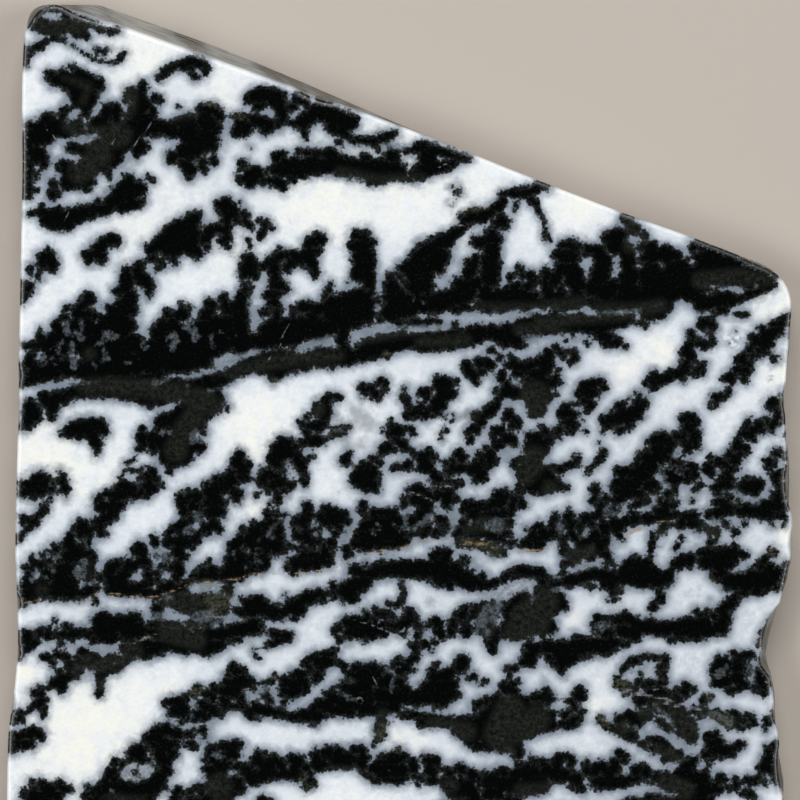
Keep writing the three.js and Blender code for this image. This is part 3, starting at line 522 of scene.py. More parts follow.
    (41,49,.4, 41.8,48.9,.5, 42.6,49.3,.5, 43,49.6,.4), (42,51.3,.6, 43,51.1,.5),
    (41.2,52.2,.8, 42.6,52.4,.7), (43.9,49.3,.5, 44.6,49.6,.6, 44.6,50.2,.5, 45.2,50,.5, 45,49.2,.5),
    (43.7,49.8,.4), (45.7,49.9,.35), (45,50.8,.3), (44.3,48.9,.3),
    (43.2,48.2,.2, 44.2,48.1,.2, 45,48.2,.3, 46,48.3,.3), (47.4,48,.3),
    (46.6,50.4,.4, 47.4,50.7,.6, 48,50.8,.6), (46.6,51,.5, 47.6,51.6,.7), (46.2,52.2,.4, 47.2,52.4,.7),
    (46,53,.5, 47.2,53.2,.6, 48,53,.6), (45.6,53.4,.3), (43.9,51.9,.4, 44.4,52,.3),
    (43.4,53.2,.4, 44.4,53.2,.4), (42.2,53.5,.45, 42.6,53,.4, 41.4,53.2,.4), (44.4,52.6,.5),
    (32.6,54.8,.6, 32.4,55.8,.7, 32.8,56.2,.5), (33.4,55,.3), (34.7,54.9,.5, 35,55.3,.4), (34.6,55.6,.3),
    (33.2,54.2,.5),
    (35.3,57.1,.5, 36,57.3,.7, 37,57.5,.7, 38,57,.8, 39.2,56.9,.8, 40.4,56.9,.8, 41.6,56.9,.9, 43,57,1,
     44.4,57,1.1, 45.6,57.4,1, 46.8,58.1,.8, 48,58.4,.7),
    (44,55.4,.6, 43.4,55.6,.5, 44.8,55.3,.5, 44.4,56.1,.8), (43.4,58,.5, 45,58.3,.6),
    (36.6,58.2,.7, 35.6,58.6,.9, 34.6,59,.9, 35.2,59.6,.7), (33.4,58.6,.4, 33.6,59.2,.6), (34.4,60,.3),
    (32.3,59.4,.35, 32.4,59.9,.3), (33,59.4,.3), (36.5,56.4,.25), (38.4,56.1,.2),
    (46.2,55.9,.3, 46.6,56.1,.25), (46.4,56.6,.15), (47.4,57.2,.15),
    (34.6,62.2,.6, 35.6,62.3,.7, 36.6,62,.5), (34,62.8,.5, 33.5,63.1,.3),
    (35.6,63,.6, 37,63.2,.8, 38.2,63.2,.6, 34.6,63.3,.5), (36.6,61.2,.25, 36.7,61.6,.4),
    (37.5,60.9,.3, 37.8,61.3,.5), (38.4,61.4,.5, 39,61.2,.4, 39.2,61.7,.3), (38.8,62.4,.5, 37.8,62.4,.6),
    (39.4,62.6,.4, 40.4,62.3,.5), (38.9,60.5,.3, 39.8,60.5,.2), (41,61.4,.6, 40.9,62.1,.6, 41.5,62.1,.5),
    (40.2,63,.5), (41.6,62.7,.3, 42,62.5,.3), (42.9,62.5,.4, 43.6,62.2,.5, 43.9,62.4,.5), (44,63.2,.7),
    (41.8,63.5,.35), (45.4,62.2,.5, 45.2,63,.6, 45.6,61.6,.3), (46.5,61,.5, 46.2,61.6,.5),
    (47.6,60.9,.5, 47.4,61.4,.4), (46.6,62.4,.5), (46.6,63.2,.6), (47.6,62.9,.3),
    (49.8,49.5,.5, 50.6,49.5,.6, 50,50.2,.8, 48.9,50.6,.5, 48.4,50.9,.4), (51.4,50,.6, 51.2,50.6,.5),
    (52.1,50.3,.5, 52.4,50.4,.3), (51.8,49,.4, 52,48.6,.3), (52.4,49.2,.3),
    (53.4,48.6,.8, 54.6,48.6,.8, 55.6,48.5,.6), (56.6,48.8,.3, 56.4,48.6,.2), (52.8,48.4,.5), (54,49.1,.3),
    (48.6,51.6,.6, 49.6,51.4,.5, 50.6,51.4,.5, 51.3,51.4,.25), (50.8,52.2,.45),
    (50.6,53.3,.5, 50.9,53.4,.35), (48.4,53.2,.5, 49.4,53.5,.5, 50.2,53.9,.4), (48.2,52.5,.3),
    (49.6,52.6,.8), (50.6,54.2,.3, 51.6,54.2,.3), (52.3,54.2,.4, 53.2,54.5,.5, 53.8,54.5,.5),
    (53.4,53.4,.6, 53.2,53.6,.5), (53.9,52.6,.4, 53.6,52.9,.4), (54.4,53.4,.7, 54.2,54,.6), (52.9,53.9,.3),
    (52.6,52.9,.15), (52.2,54.6,.3), (55.3,52,.4, 55.5,51.7,.4, 55.2,52.6,.4), (55.2,53.3,.6),
    (56.6,51.6,.35, 57,51.4,.35, 56.8,51.9,.5), (57.2,52.4,.5, 57,53.2,.5, 57.4,53.8,.5), (56.6,53.8,.4),
    (58,52.4,.4, 58,53,.4), (56.9,50.9,.15), (58.4,51.9,.5, 59.2,51.7,.5), (56.1,52.7,.5),
    (59.6,48.9,.5, 59.5,49.6,.5, 59.3,50.1,.45), (60.2,50.4,.5, 60,50.9,.4), (60.6,50,.4), (59.9,51.4,.5),
    (59.2,52.4,.5), (60.4,52.8,.8), (59.6,53.6,.8), (58.6,54.2,.6, 58.2,54.6,.5), (60,54.4,.7, 60.8,54,.5),
    (61.4,52.4,.7, 62,52.6,.7), (61.8,53.4,.5, 62.1,53.9,.25), (62.6,52.2,.5, 63.6,51.9,.6),
    (61.6,48.4,.6, 62.6,48.4,.8, 63.6,48.4,.8), (61.9,49.2,.7, 63.2,49.2,.7, 64,49.4,.6),
    (61.4,50,.4, 62.2,49.9,.4), (63.3,50.6,.4, 64,50.2,.5), (63.2,51.3,.4), (62,51,.3), (61,51.1,.6),
    (57.4,55.6,.7, 58,55.4,.6), (57.2,56.2,.4, 57.8,55.9,.4), (56.4,54.5,.4, 56.3,55.2,.4), (56.4,56.4,.4),
    (59.1,55.7,.4), (59.9,55.2,.5), (60.6,55.4,.5, 60.8,56.2,.3), (61.2,56.2,.3), (58.6,55,.5),
    (51.4,57.2,.5, 52,57.1,.5, 53,57.2,.6, 53.8,57.3,.6, 54.4,57.6,.5, 54.9,58.1,.4, 55.1,58.6,.35),
    (50.6,57.7,.4, 51,57.6,.5), (49.6,58.3,.4, 48.6,58.5,.5), (48.3,57.6,.4, 48,58.2,.6), (50.4,58.1,.35),
    (54.2,58.2,.4), (55.8,58.3,.4),
    (56.6,58.1,.6, 57.6,57.9,.6, 58.8,57.6,.6, 60,57.5,.6, 61,57.7,.7, 62,57.6,.8, 63,57.6,1, 64,57.5,1.2),
    (63.2,56.2,.6, 62.7,56.7,.6, 63.8,56.4,.7), (60.4,58.4,.5, 61.4,58.4,.6),
    (61.2,58.9,.4, 61.9,58.9,.4, 61.2,59.4,.25), (61.5,59.9,.2), (60.7,59.9,.1), (59,58.6,.35),
    (56.4,57.3,.3), (50.2,60.3,.25), (54.4,59,.8, 54.2,60,.9, 55.6,60,.9, 56.2,60.4,.6),
    (52.4,59.8,.5, 51.4,60.4,.6, 50.8,61.2,.6), (52.6,60.8,1, 54,61.2,1.2, 55.2,60.8,.7),
    (51.6,62,1.1, 53,62.4,1.2, 54.4,62.2,1.1, 55,62.7,.6), (50.8,63,.9, 52,63.4,.7, 54,63.1,.7),
    (49.3,60.3,.3, 49.6,60.9,.45), (48.3,60.8,.4), (49.6,61.3,.3),
    (59.8,61.9,.5, 60.4,61.9,.4, 60.9,61.9,.35), (60.8,62.6,.5, 61.2,62.3,.3), (59.5,62.4,.4),
    (59.6,63.1,.4), (60.6,63.4,.4), (62.2,61.7,.5, 61.9,62.2,.5), (62.8,61.8,.5, 63.4,62.4,.8, 64,62.6,.8),
    (62.2,63,.8, 63.4,63.4,.8), (61,63.5,.5), (57.6,63.7,.3), (64.6,48.6,.7, 65.4,48.4,.6, 65.6,49,.4),
    (64.4,49.6,.4), (64.6,50.3,.4), (67.2,49.3,.3, 66.8,49.4,.4), (67.6,48.4,.3, 67.4,48.9,.4),
    (66,50.1,.35), (66.4,50.6,.6, 67.4,50.5,.5), (65.6,51,.5, 66.6,51.2,.6),
    (64.6,51.8,.5, 65.6,51.8,.5, 66.6,51.7,.4, 67.6,51.3,.4), (68.5,51.6,.5, 69.5,51.6,.5),
    (68,52.3,.5, 69,52.3,.6, 69.8,52.4,.5), (66.6,52.3,.4), (66.2,53,.4, 66,53.6,.4, 65.8,54.2,.3),
    (71.4,48.8,.4, 72,48.5,.6, 73,48.5,.5), (71.8,49.2,.4), (71.6,50.2,.4, 72.3,50.3,.5),
    (73,49.7,.4, 72.8,49.5,.3), (73.8,50,.3), (74.6,48.7,.7, 75.6,48.6,.8), (75.4,49.2,.5, 75.8,49.4,.3),
    (76,48.4,.4), (71,51.4,.5, 72,51.1,.6, 73,51,.6),
    (74,51.1,.6, 75,51.1,.6, 76,51.1,.8, 77,50.8,.9, 78,50.6,.7), (78,49.6,.6, 77.2,49.4,.3),
    (77.9,48.4,.6, 78.4,49,.4), (74.6,50.6,.4), (77,51.8,.4, 78.2,51.5,.4), (76.4,51.7,.3), (77.2,52.5,.25),
    (78.4,52.3,.15), (72.5,52.3,.3, 72.8,52.6,.25), (73.6,53.2,.35), (74.5,52.4,.2),
    (70.8,53,.4, 71.6,53.1,.3), (70,52.9,.4), (68.2,53.8,.2), (71.1,54.3,.35, 71.5,54.1,.2),
    (67.8,54.5,.15, 67.6,54.9,.25), (65.2,53.3,.2, 65.2,54.2,.2, 65.1,55,.2, 65.1,55.6,.15),
    (64.6,56.6,.8, 64.6,57.4,1.2, 65.6,57.9,.9, 66.6,57.8,.8, 67,57.3,.5), (66.2,58.6,.4), (64.6,58.2,.6),
    (68.4,55.7,.4, 68,56.2,.6, 67.4,56.5,.5), (69.2,55.8,.6, 69,56.4,.5),
    (70,55.4,.4, 71,55.4,.6, 72.4,55.4,.7, 73.2,55.4,.7, 73.4,54.8,.35),
    (70.4,56.2,.7, 71.8,56.4,1, 73,56.1,.8), (74.3,55.5,.4, 74.6,55.5,.25), (74,55.4,.4),
    (71.6,57.4,.7, 72.4,57.2,.6), (72.8,58.2,.8, 74,58.2,.9, 75.4,58,1.1, 76.8,57.9,1.1, 78,57.4,.8),
    (77,56.6,.5, 75.9,56.9,.4, 76.4,56.2,.5), (75.2,57,.4), (77.2,55.3,.45, 76.9,55.5,.3),
    (78.5,56.4,.3, 78.6,56.9,.3), (74.6,58.8,.5, 76,59.1,.4), (77.6,58.6,.5),
    (73.8,59.6,.4, 73.4,60,.5, 72.8,60.6,.6, 72.3,61,.6, 72.6,61.4,.6), (74.4,59.4,.3, 75,59.2,.2),
    (71.9,61.1,.3), (72.3,62,.7, 72.1,62.8,.8), (69.6,61.1,.25), (70.7,61.1,.25),
    (69.8,61.7,.3, 70.6,61.6,.35, 71.6,61.8,.4),
    (70.6,62.4,.8, 69,62.4,.75, 67.6,62.7,.7, 66,62.8,.7, 64.6,62.7,.7),
    (68,63.2,.7, 70,63.1,.7, 71.2,63,.6), (66.6,63.1,.6), (64.4,62.9,.5), (65.6,60.2,.3, 65.5,60.7,.35),
    (65.2,60.9,.3), (66.2,59.6,.3, 66.2,60.1,.25), (65.9,59.2,.3),
    (77.2,62,.25, 76.8,62.8,.4, 76.4,63.4,.35), (77,63.2,.3),
    # The fifth strip.
    (2.2,64.2,.5, 3,64.2,.6, 3.7,64.1,.3), (2.3,65,.5, 2,65.6,.25), (2.8,64.8,.4), (6.2,64.2,.3),
    (7.2,64,.2), (9.4,64,.3), (4.4,65.7,.3, 5,65.9,.45, 5.2,66.3,.3),
    (5.6,65.5,.35, 6.4,65.6,.4, 6.8,65.8,.35), (8.2,65.2,.45, 8.6,65.5,.5),
    (8.2,66.2,.6, 9.2,66,.7, 10,66.3,.7), (7.2,66.6,.6, 7.8,67.1,.6), (11,65.9,.5, 11.8,65.8,.4),
    (12.4,66,.5, 13.2,65.3,.6), (10.6,66.8,.5, 11.4,66.9,.4, 12,66.5,.4), (9.2,66.8,.4),
    (12.6,65,.6, 13.8,64.9,.8, 15.2,65,.7, 16,64.9,.6), (14,65.4,.4, 15,65.6,.3), (12.4,64.1,.2, 13,64,.2),
    (14.6,64.4,.4, 15.6,64.3,.5), (6,67.4,.4, 6.2,68,.7, 5.6,68.4,.6, 6.2,68.7,.5),
    (6.8,67.7,.5, 7.4,67.6,.4, 8,67.4,.25), (4.9,68.8,.25), (5.2,68.2,.3), (6,69.2,.2),
    (10,67.4,.4, 10.1,68.1,.35, 10,68.8,.35, 9.9,69.3,.35), (10.4,67.3,.3),
    (4,68.8,.25, 4,69.3,.4, 3.4,69.4,.35), (4.3,70,.45, 4,70.4,.5), (3.4,70.6,.35, 3.1,70.8,.25),
    (4.3,71,.25, 4.4,71.5,.2), (1.6,71.3,.3, 2,71.3,.3, 2.5,71.3,.2), (1.8,71.8,.45, 1.4,72.2,.3),
    (2.2,72.2,.15), (1.3,73.6,.4, 2,73.6,.5, 2.8,73.5,.6, 3.6,73.3,.6, 4,73.6,.45),
    (1.4,74.4,.5, 2.2,74.3,.6, 3,74.3,.5), (1.2,75,.4), (3.3,74.6,.25), (3.1,78.4,.3, 3.4,78.8,.5),
    (4,78.3,.3), (4.4,78.8,.6, 5.2,78.9,.6), (5.9,78.6,.5, 6.3,78.9,.4, 7.2,79,.2),
    (2.6,79.3,.4, 2.4,79.6,.3), (3.4,79.5,.6, 4.4,79.6,.7, 5.6,79.5,.6),
    (8.9,78.9,.4, 9.4,79.1,.5, 8.6,79.5,.4), (10.4,78.6,.5, 10.6,78.1,.5, 11,77.4,.5),
    (11.5,76,.2, 11.5,76.7,.4, 11.4,77.4,.4), (12.2,76.4,.35, 11.9,77,.3), (10.2,79.2,.8, 11.6,78.8,.7),
    (13.4,74.9,.5, 13.2,75.4,.6, 14,75.2,.8, 14.2,76.1,.4), (14.8,74,.6, 15.4,73.4,.5, 15.8,72.9,.4),
    (13,75.9,.4), (15.4,74.5,.6), (12.4,78.9,.8, 14,79,.8, 15.4,78.6,.9, 16,77.8,.8), (15.9,76.6,.5),
    (14.8,76.1,.4), (16,75,.8), (15.8,73.9,.8), (12,79.6,.6, 14,79.7,.6), (11.4,77.9,.6),
    (17,64.2,.9, 18.4,64.5,.9, 19.6,64.3,.9, 21,64.7,.9, 22,64.5,.6), (20.8,65.3,.4), (18.4,65.1,.35),
    (22.8,64.1,.3, 24,63.9,.25), (16,64.5,.7), (26.9,64.5,.3, 27.4,64.3,.3, 28.2,64,.3, 29,64,.2),
    (26.6,64.8,.15), (25.5,65.1,.15, 25.6,65.4,.15, 25.8,65.8,.12),
    (31.2,65.9,.6, 31.6,65.5,.3, 31.8,66.2,.7), (30.6,66.5,.4, 31,66.9,.5),
    (29.8,67.3,.4, 29.2,67.4,.3, 30.4,67.5,.5), (31.8,67.4,.6, 31.4,68.2,.4),
    (28.4,68.2,.5, 29.2,68.4,.7, 30.2,68.4,.8), (28.4,69.1,.6, 29.4,69.3,.7, 30.4,69,.5),
    (28.9,70,.4, 28.6,70.4,.35), (27.2,68.1,.3, 26.5,68.3,.2), (27.4,67.7,.2), (23.4,66.6,.35),
    (23.2,67.3,.5, 24.2,67.2,.45), (22.8,67.5,.4), (22.6,68.4,.5, 23.4,68.2,.7, 24.4,68.2,.6),
    (25,68.2,.5, 25.4,68.8,.3), (25.8,68.4,.2, 26.4,68.3,.2), (21.4,68.9,.4, 22.4,69.2,.7, 23.6,69.2,.7),
    (24,69.8,.5), (20.4,69.3,.4, 21.4,69.8,.6, 22.6,70.2,.6), (19.4,69.4,.4, 20,68.8,.3),
    (18.6,69.8,.4, 17.8,70.1,.5, 17,70.2,.5), (18,71,.9, 17.2,71.3,.5), (20.4,70.6,.6, 21.4,71,.7),
    (19.6,71.3,.5, 20.6,71.6,.5), (16.6,70.4,.25), (22.4,70.9,.4, 23.6,70.4,.4, 24.4,70.6,.4),
    (21.9,71.5,.3), (26.6,69.6,.3, 26.9,70.1,.35), (26.7,69.1,.15),
    (24.6,71.1,.4, 25.6,71,.5, 26.6,71.1,.6, 27.8,71.3,.5, 29,71.6,.45, 30.2,71.6,.6, 31.4,71.6,.8),
    (31.2,70.8,.6, 32,70.5,.6), (25,71.6,.3, 26,71.7,.2), (31.6,72.3,.3), (30.2,72,.4), (25.6,70.4,.3),
    (18.1,72.3,.25), (18.9,71.9,.3, 20,71.9,.3), (16.6,73,.7, 17.6,73.4,.6), (16.4,74.4,.9, 17.4,74.4,.6),
    (17.2,75.4,.6), (16.4,76,.8), (16.6,77,.6, 17,77.2,.3), (18.9,73.4,.5, 19.4,73,.3),
    (19,74.3,.4, 19.6,74.6,.25), (20.3,73,.3), (20.4,73.8,.25), (19.8,73,.3), (21,75.3,.5, 20.6,75.5,.3),
    (22.6,74.9,.5, 23.4,74.6,.6, 24,74.5,.4), (23.4,75.3,.6, 22.4,75.8,.5), (21.2,76,.6, 22.4,76.6,.8),
    (20.8,76.8,.5, 21.4,77.6,.8), (23.6,77,.7, 24.6,77,.7), (25.8,76.2,.7, 25.8,75.4,.4), (26.4,75.4,.3),
    (27.4,76,.6, 26.6,76.8,.8), (28,76.4,.6, 28.2,77,.6), (29.2,75.9,.6, 30,76,.6, 29.4,76.8,.7),
    (30.6,76.8,.6), (31.6,75.6,.6, 31.8,76.4,.7), (31.6,75.1,.3),
    (25,77.8,.8, 27,77.4,.6, 28.6,77.5,.5, 30,77.6,.5), (22,78.2,.9, 23.6,78.4,.8),
    (21.4,79.2,.8, 22.8,79.2,.8), (24.2,78.8,.5), (31,77.6,.4, 31.2,78.4,.4), (30.6,78.6,.3),
    (22.4,75.4,.5), (17.8,79.2,.5, 17.5,79.8,.5), (18.2,79.4,.3), (19,79.4,.4, 18.8,79.8,.4),
    (19.6,79,.3, 19.9,78.6,.3), (20.2,79.5,.5), (16.1,78.8,.25), (16.5,78.9,.1), (20.6,78.6,.3),
    (34,63.9,.3), (36.4,63.9,.3, 37,63.8,.2), (32.6,65.6,.5, 33.2,65.3,.4, 33.5,65.1,.3), (32.8,66.1,.7),
    (33.9,66.3,.3, 34.4,66.8,.3), (32.2,66.8,.4), (35.4,66.8,.5, 36.4,66.8,.5, 37.4,66.8,.5),
    (35.1,67.4,.5, 36.4,67.6,.8, 37.8,67.4,.7), (38.4,66.8,.4), (39.4,66.5,.4, 40.2,66.3,.4),
    (40.9,66.1,.5, 41.5,65.8,.4), (41.6,65.2,.4, 41.4,64.6,.4), (42.6,64.3,.5, 43.3,64.2,.4),
    (43.1,64.9,.3), (40.6,66.8,.6, 40,67.2,.5), (41.4,67,.15), (39.9,65.9,.3),
    (38.6,68.2,.9, 40,68.4,.5, 40.2,67.8,.4), (34.4,68.6,.6, 35.4,68.9,.8, 36.6,68.8,.8), (33.8,68.4,.4),
    (32.9,69,.5, 32.6,69.4,.3), (33.4,69.8,.8, 35,70,1, 36.6,70,1),
    (32.6,70.6,.8, 33.4,71,.7, 34.8,70.9,.8), (38,69.6,1, 39.4,69.8,1, 40.8,69.6,.8),
    (41.6,69.8,.8, 42.6,69.8,.8), (40.4,69,.5), (36.4,70.9,.7, 38,70.9,.6, 39.6,70.7,.5), (32.4,71.5,.4),
    (36,71.3,.3), (36.8,68,.8), (43.4,67,.5, 43.6,66.6,.3), (43.6,67.8,.8, 44.6,67.6,.7, 45.2,67.2,.5),
    (46.2,66.1,.7, 46.2,66.6,.7, 45.8,66.9,.6), (42.6,68.6,.6, 43.8,68.8,1, 45.2,68.4,.7), (42.2,69.3,.4),
    (45,69.4,.8, 43.6,69.8,.8, 45.8,69.4,.3), (44.4,70.3,.5, 43.6,70.5,.4), (47.4,67.6,.3, 46.9,67.8,.25),
    (48,68.2,.15), (47.6,70.5,.4, 48,70.4,.5), (47.6,71.1,.25),
    (40,71.4,.4, 41.4,71.5,.45, 42.6,71.8,.5, 44,72.1,.5, 45.4,72.3,.5, 46.6,72.2,.6, 48,72.2,.6),
    (42.2,72.2,.5, 43.4,72.2,.5), (46,72.9,.8, 47.4,73.4,1.1), (47.2,74,.7, 47.8,74.5,.5), (38.4,71.4,.3),
    (38.5,72.3,.25), (38.4,73.4,.12), (37.4,74.6,.15), (38,72,.3, 37.9,72.9,.2),
    (32.6,75.2,.6, 33.8,75.2,.6), (33.6,76,.8, 35,76,.8), (35.4,75,.5, 36.2,75,.45),
    (36.4,75.6,.6, 36.2,76.4,.6), (32.4,76.4,.5, 34,76.6,.3), (38.4,75.7,.45),
    (38,76.4,.6, 39.4,76,.8, 40.2,75.8,.7), (37.2,77,.6, 38.6,77,.8, 40.2,77,.8),
    (41.2,76.5,.7, 41.4,77.3,.5), (42.4,75.8,.4, 43,76.2,.6, 43.6,76.2,.5), (42.8,77.1,.6, 43.5,77.2,.5),
    (39.9,75.1,.35), (38,77.8,.5, 39.4,77.9,.4, 40.6,77.8,.35), (43.4,78,.4, 42.6,78.1,.3), (36.4,77.2,.3),
    (36.8,77.7,.15, 37.6,78.2,.2, 39,78.2,.2, 40.2,78.2,.2), (44.6,77,.3, 45,77.4,.5),
    (45.9,76.7,.45, 46.2,77.1,.5), (44.6,78.2,.6, 45.8,78,.8), (47,77.5,.6, 47.8,77.7,.5),
    (45.4,79.1,.8, 46.8,78.8,1), (47.4,79.6,.8), (44.6,78.7,.4), (47.8,78.4,.5), (41.9,78.5,.15),
    (42.2,77.6,.4), (49.2,64.6,.5, 49.4,65.1,.3, 48.8,64.2,.3), (52.8,64.7,.5, 53.4,65,.8), (53,65.7,.7),
    (52.3,66.2,.5, 53.2,66.3,.4), (51.8,66.7,.3, 51.2,66.9,.35, 50.7,66.9,.35), (51,67.4,.25, 50.9,67.8,.2),
    (54.6,64.8,.8, 56,65,1, 57.4,64.8,1, 59,64.7,.9, 60.6,64.5,.9, 62,64.3,.5), (56.2,66,.9, 57.2,65.7,.6),
    (56.2,66.8,.5, 56.3,67.3,.25), (55,65.8,.5), (58.4,65.4,.5), (60.3,65.4,.35), (62.8,64.2,.3),
    (55.6,66.4,.4), (48.4,68.2,.25, 48.7,68.2,.2), (51.2,68.4,.5, 51.6,68.3,.4), (50.8,69,.7, 50.4,68.7,.4),
    (51.4,69.2,.6), (50,69.9,.5, 48.8,70,.5), (51.6,70,.6, 52.6,70.2,.6), (53.4,69.9,.5, 54.4,69.6,.5),
    (54.6,69.2,.45), (55.1,69.8,.5, 55,70.3,.3), (50,70.8,1.2, 51.8,71.4,1.2, 53.6,71,.9),
    (54.6,71.6,.6, 55.2,71.5,.5), (49.6,72.4,1.4, 51.6,73,1.2, 53.4,72.4,1, 55,72.5,.7),
    (56.4,71.6,.4, 56.8,71.3,.3), (57.4,72,.5, 58,71.7,.5, 58.2,71.2,.35), (57.5,70.9,.3, 57.2,70.3,.3),
    (56.8,70.1,.3), (58,69.2,.6, 57.6,69.6,.4, 58.2,69.8,.35), (56.2,72.4,.5, 57.4,72.5,.4),
    (49,74,1, 50.6,74.2,1, 51.4,74.4,.8), (51.8,75.2,.6, 51.6,75.5,.4), (48.4,72.8,1), (48.6,74.5,.5),
    (51.6,73.8,.5), (49.2,71.6,1.2), (52.8,72.2,1.2), (60.2,71.9,.35, 60,72.1,.3),
    (60.5,72.5,.3, 61.2,72.8,.3), (61.9,72,.6, 62.6,71.6,.5, 63.6,71.9,.6),
    (62,73,.5, 63,73.5,.5, 63.6,73.9,.3), (63.6,69.9,.4, 64,70.2,.6),
    (61.9,68.4,.4, 62.6,68.6,.5, 63.4,69,.5), (61.7,67.8,.25), (62.2,67.1,.18), (63.5,66.4,.3),
    (63.8,68.2,.3), (64,66,.3), (62.6,69.3,.2), (63.6,72.2,.8), (53,76,.4, 53.6,76.3,.4), (54.4,76.4,.5),
    (52.4,76.7,.5, 51.8,76.6,.35), (50.2,77.2,.5, 49.6,77.4,.5), (51.2,77.5,.6, 53,77.4,.9),
    (55.8,75.9,.5, 56.6,75.8,.5), (57.1,76.1,.5, 57,76.4,.4), (55.6,76.6,.6), (55.4,77.4,.8, 56.4,77.5,.8),
    (48.4,77.4,.4), (48.8,78.2,.8, 50.2,78.4,.9, 52,78.6,1, 54,78.4,1), (57.6,77.8,.7),
    (58.6,76.6,.5, 58.7,76.2,.3, 58.6,77.3,.6), (59.6,77,.7, 60.4,76.6,.6), (60.8,77.2,.8, 61.6,76.8,.5),
    (59.6,78.1,.7, 61,78.2,.7, 62.4,78.1,.6, 63.6,77.9,.5), (61.8,75.4,.4, 62.3,75.6,.4), (62.4,76,.4),
    (62.9,75.9,.15), (63.5,77,.5, 64,76.8,.4), (63.2,77.5,.3), (50,79.2,.8, 48.6,79.4,.6), (54.2,78.9,.5),
    (57.2,78.4,.35, 58.3,78.9,.35), (60,78.8,.3), (63.9,79.9,.2), (61.4,76.2,.5), (54.6,77.2,.7),
    (67,64,.15, 68.6,63.9,.15, 70.4,63.9,.15), (64.4,65.8,.2, 65,65.7,.2),
    (66.4,65.8,.35, 66.3,66.4,.4, 66,66.8,.3), (66,67.3,.3), (64,67.6,.15),
    (64.4,68.5,.35, 65.6,68.4,.35, 66.4,68.3,.4), (66.6,68,.25), (68.4,68.4,.3, 68.9,68.8,.4),
    (69.4,68.9,.3), (67.6,69,.3, 68.4,69.3,.5), (67.8,69.9,.5), (65,69.2,.5, 66.4,69.3,.6),
    (65.5,70.4,.8, 66.8,70.8,.8, 67.8,71.4,.9, 68.4,72.4,.9, 69.2,73.6,.7), (64.6,71.4,.7),
    (66.2,72.2,.5, 66.9,72.8,.4), (69.4,71,.4, 70.6,70.9,.2), (71.6,71,.2), (69.4,72.6,.4), (67.9,73.3,.35),
    (70.2,70.2,.35, 70.3,69.8,.3), (71,69.8,.3), (72,66.2,.6, 71.5,66.8,.5, 71.3,67.2,.3),
    (72.5,66,.4, 72.9,66.6,.5), (73.5,65.3,.35, 73.9,65.8,.5), (74.4,65.6,.5, 75,65.5,.35), (73.8,66.6,.8),
    (71.6,68.2,.5, 72.6,68.2,.7), (73.8,67.9,.8, 74.8,68.5,.4), (72.6,67.4,.5), (74.4,67.3,.25),
    (75.9,67.2,.35, 76.2,67.9,.7, 76.4,68.6,.6), (75.6,68.8,.4), (73,69,.4, 73.9,68.8,.3), (76.1,66.7,.4),
    (75.7,66,.3, 76.2,66.2,.3), (76.4,69.3,.3), (75.6,69.2,.2), (74.8,67,.6), (72,67.2,.5),
    (73.2,71.3,.35, 73.8,71.7,.4, 74,72.2,.4), (74.6,71.7,.3, 75.2,71.8,.35, 75.4,72.3,.3), (74.9,72.4,.35),
    (73.4,72.4,.4), (74,72.7,.3), (77.5,71.5,.35, 77.2,72.1,.4), (76.7,72,.2, 76.7,72.4,.25),
    (76.6,73.1,.15), (76.4,72.8,.1), (70.8,73.7,.4, 71.4,73.6,.4), (71,74.4,.5, 71.8,74.2,.5),
    (71.4,75,.7, 72.6,75,.6, 73.6,74.8,.45, 74.1,74.5,.35), (72.2,75.5,.4, 73.4,75.3,.3),
    (70.4,75.6,.4, 71,75.5,.5), (70.8,76.4,.2), (71.6,73.1,.15), (77.7,74.5,.4, 77.9,74.9,.3),
    (76.8,74.9,.4, 76.9,75.4,.5), (76.5,76,.5, 77.4,76,.6), (76.4,76.7,.6, 77.4,77,.6),
    (77.6,77.8,.4, 78,78.4,.25), (76.2,77.5,.35, 75.8,77.9,.35), (76.4,78.2,.3),
    (64.8,74,.4, 65.8,74.2,.5, 66.6,74.6,.4), (65.2,74.7,.4, 66.4,75.1,.5, 67,75.1,.35), (68,75.4,.35),
    (66.5,75.8,.4, 67.4,75.7,.4), (68.4,75.8,.25), (65.3,75.3,.2), (64.3,74.4,.4),
    (64.5,76.9,.4, 64.6,77.4,.5), (65.6,77.8,.5, 66.8,77.6,.4), (64.6,78,.3), (68.6,76.6,.7, 69.4,76.2,.5),
    (68,77.4,.7, 69.4,77.8,.9), (66.4,78.2,.6, 68,78.7,.7), (70.6,77.4,.5, 70.2,78.2,.8),
    (71.8,78.2,.5, 71.9,77.6,.25, 72.4,78.1,.4), (73.4,78,.4, 73.6,78.4,.6), (74.8,78,.4, 75.4,78.2,.4),
    (71.6,78.8,.6, 70,79.2,.9, 68.8,79.4,.8), (73,78.8,.45), (74.4,79.2,.35, 75,79.4,.4, 75.4,79.8,.3),
    (64.8,79.7,.35, 66,79.8,.3, 67,79.9,.2), (76,64.3,.3),
    # The foot.
    (3.2,80.2,.8, 4.6,80.4,.9, 5.6,80.8,.5), (2.6,81,.5),
    (9.4,80.4,.9, 11,80.4,1, 12.8,80.2,.9, 14.6,80.2,.8), (8.6,81.4,.5), (11.6,81.6,.7, 13,81.4,.5),
    (15,81,.4), (17.8,80.4,.5, 18.6,80.6,.6, 19.8,80.4,.6, 21.2,80.2,.9, 22.6,80.2,.7),
    (20.4,81.4,.7, 21.6,81.6,.5), (26.2,80.1,.5, 27,80.3,.35), (31.8,81.2,.25), (40.2,81.8,.3),
    (43.4,81.4,.4, 44.8,80.8,.7, 46.2,80.6,1, 48,80.6,.8, 49.6,80.8,.6), (50.8,80.2,.6, 52,79.8,.3),
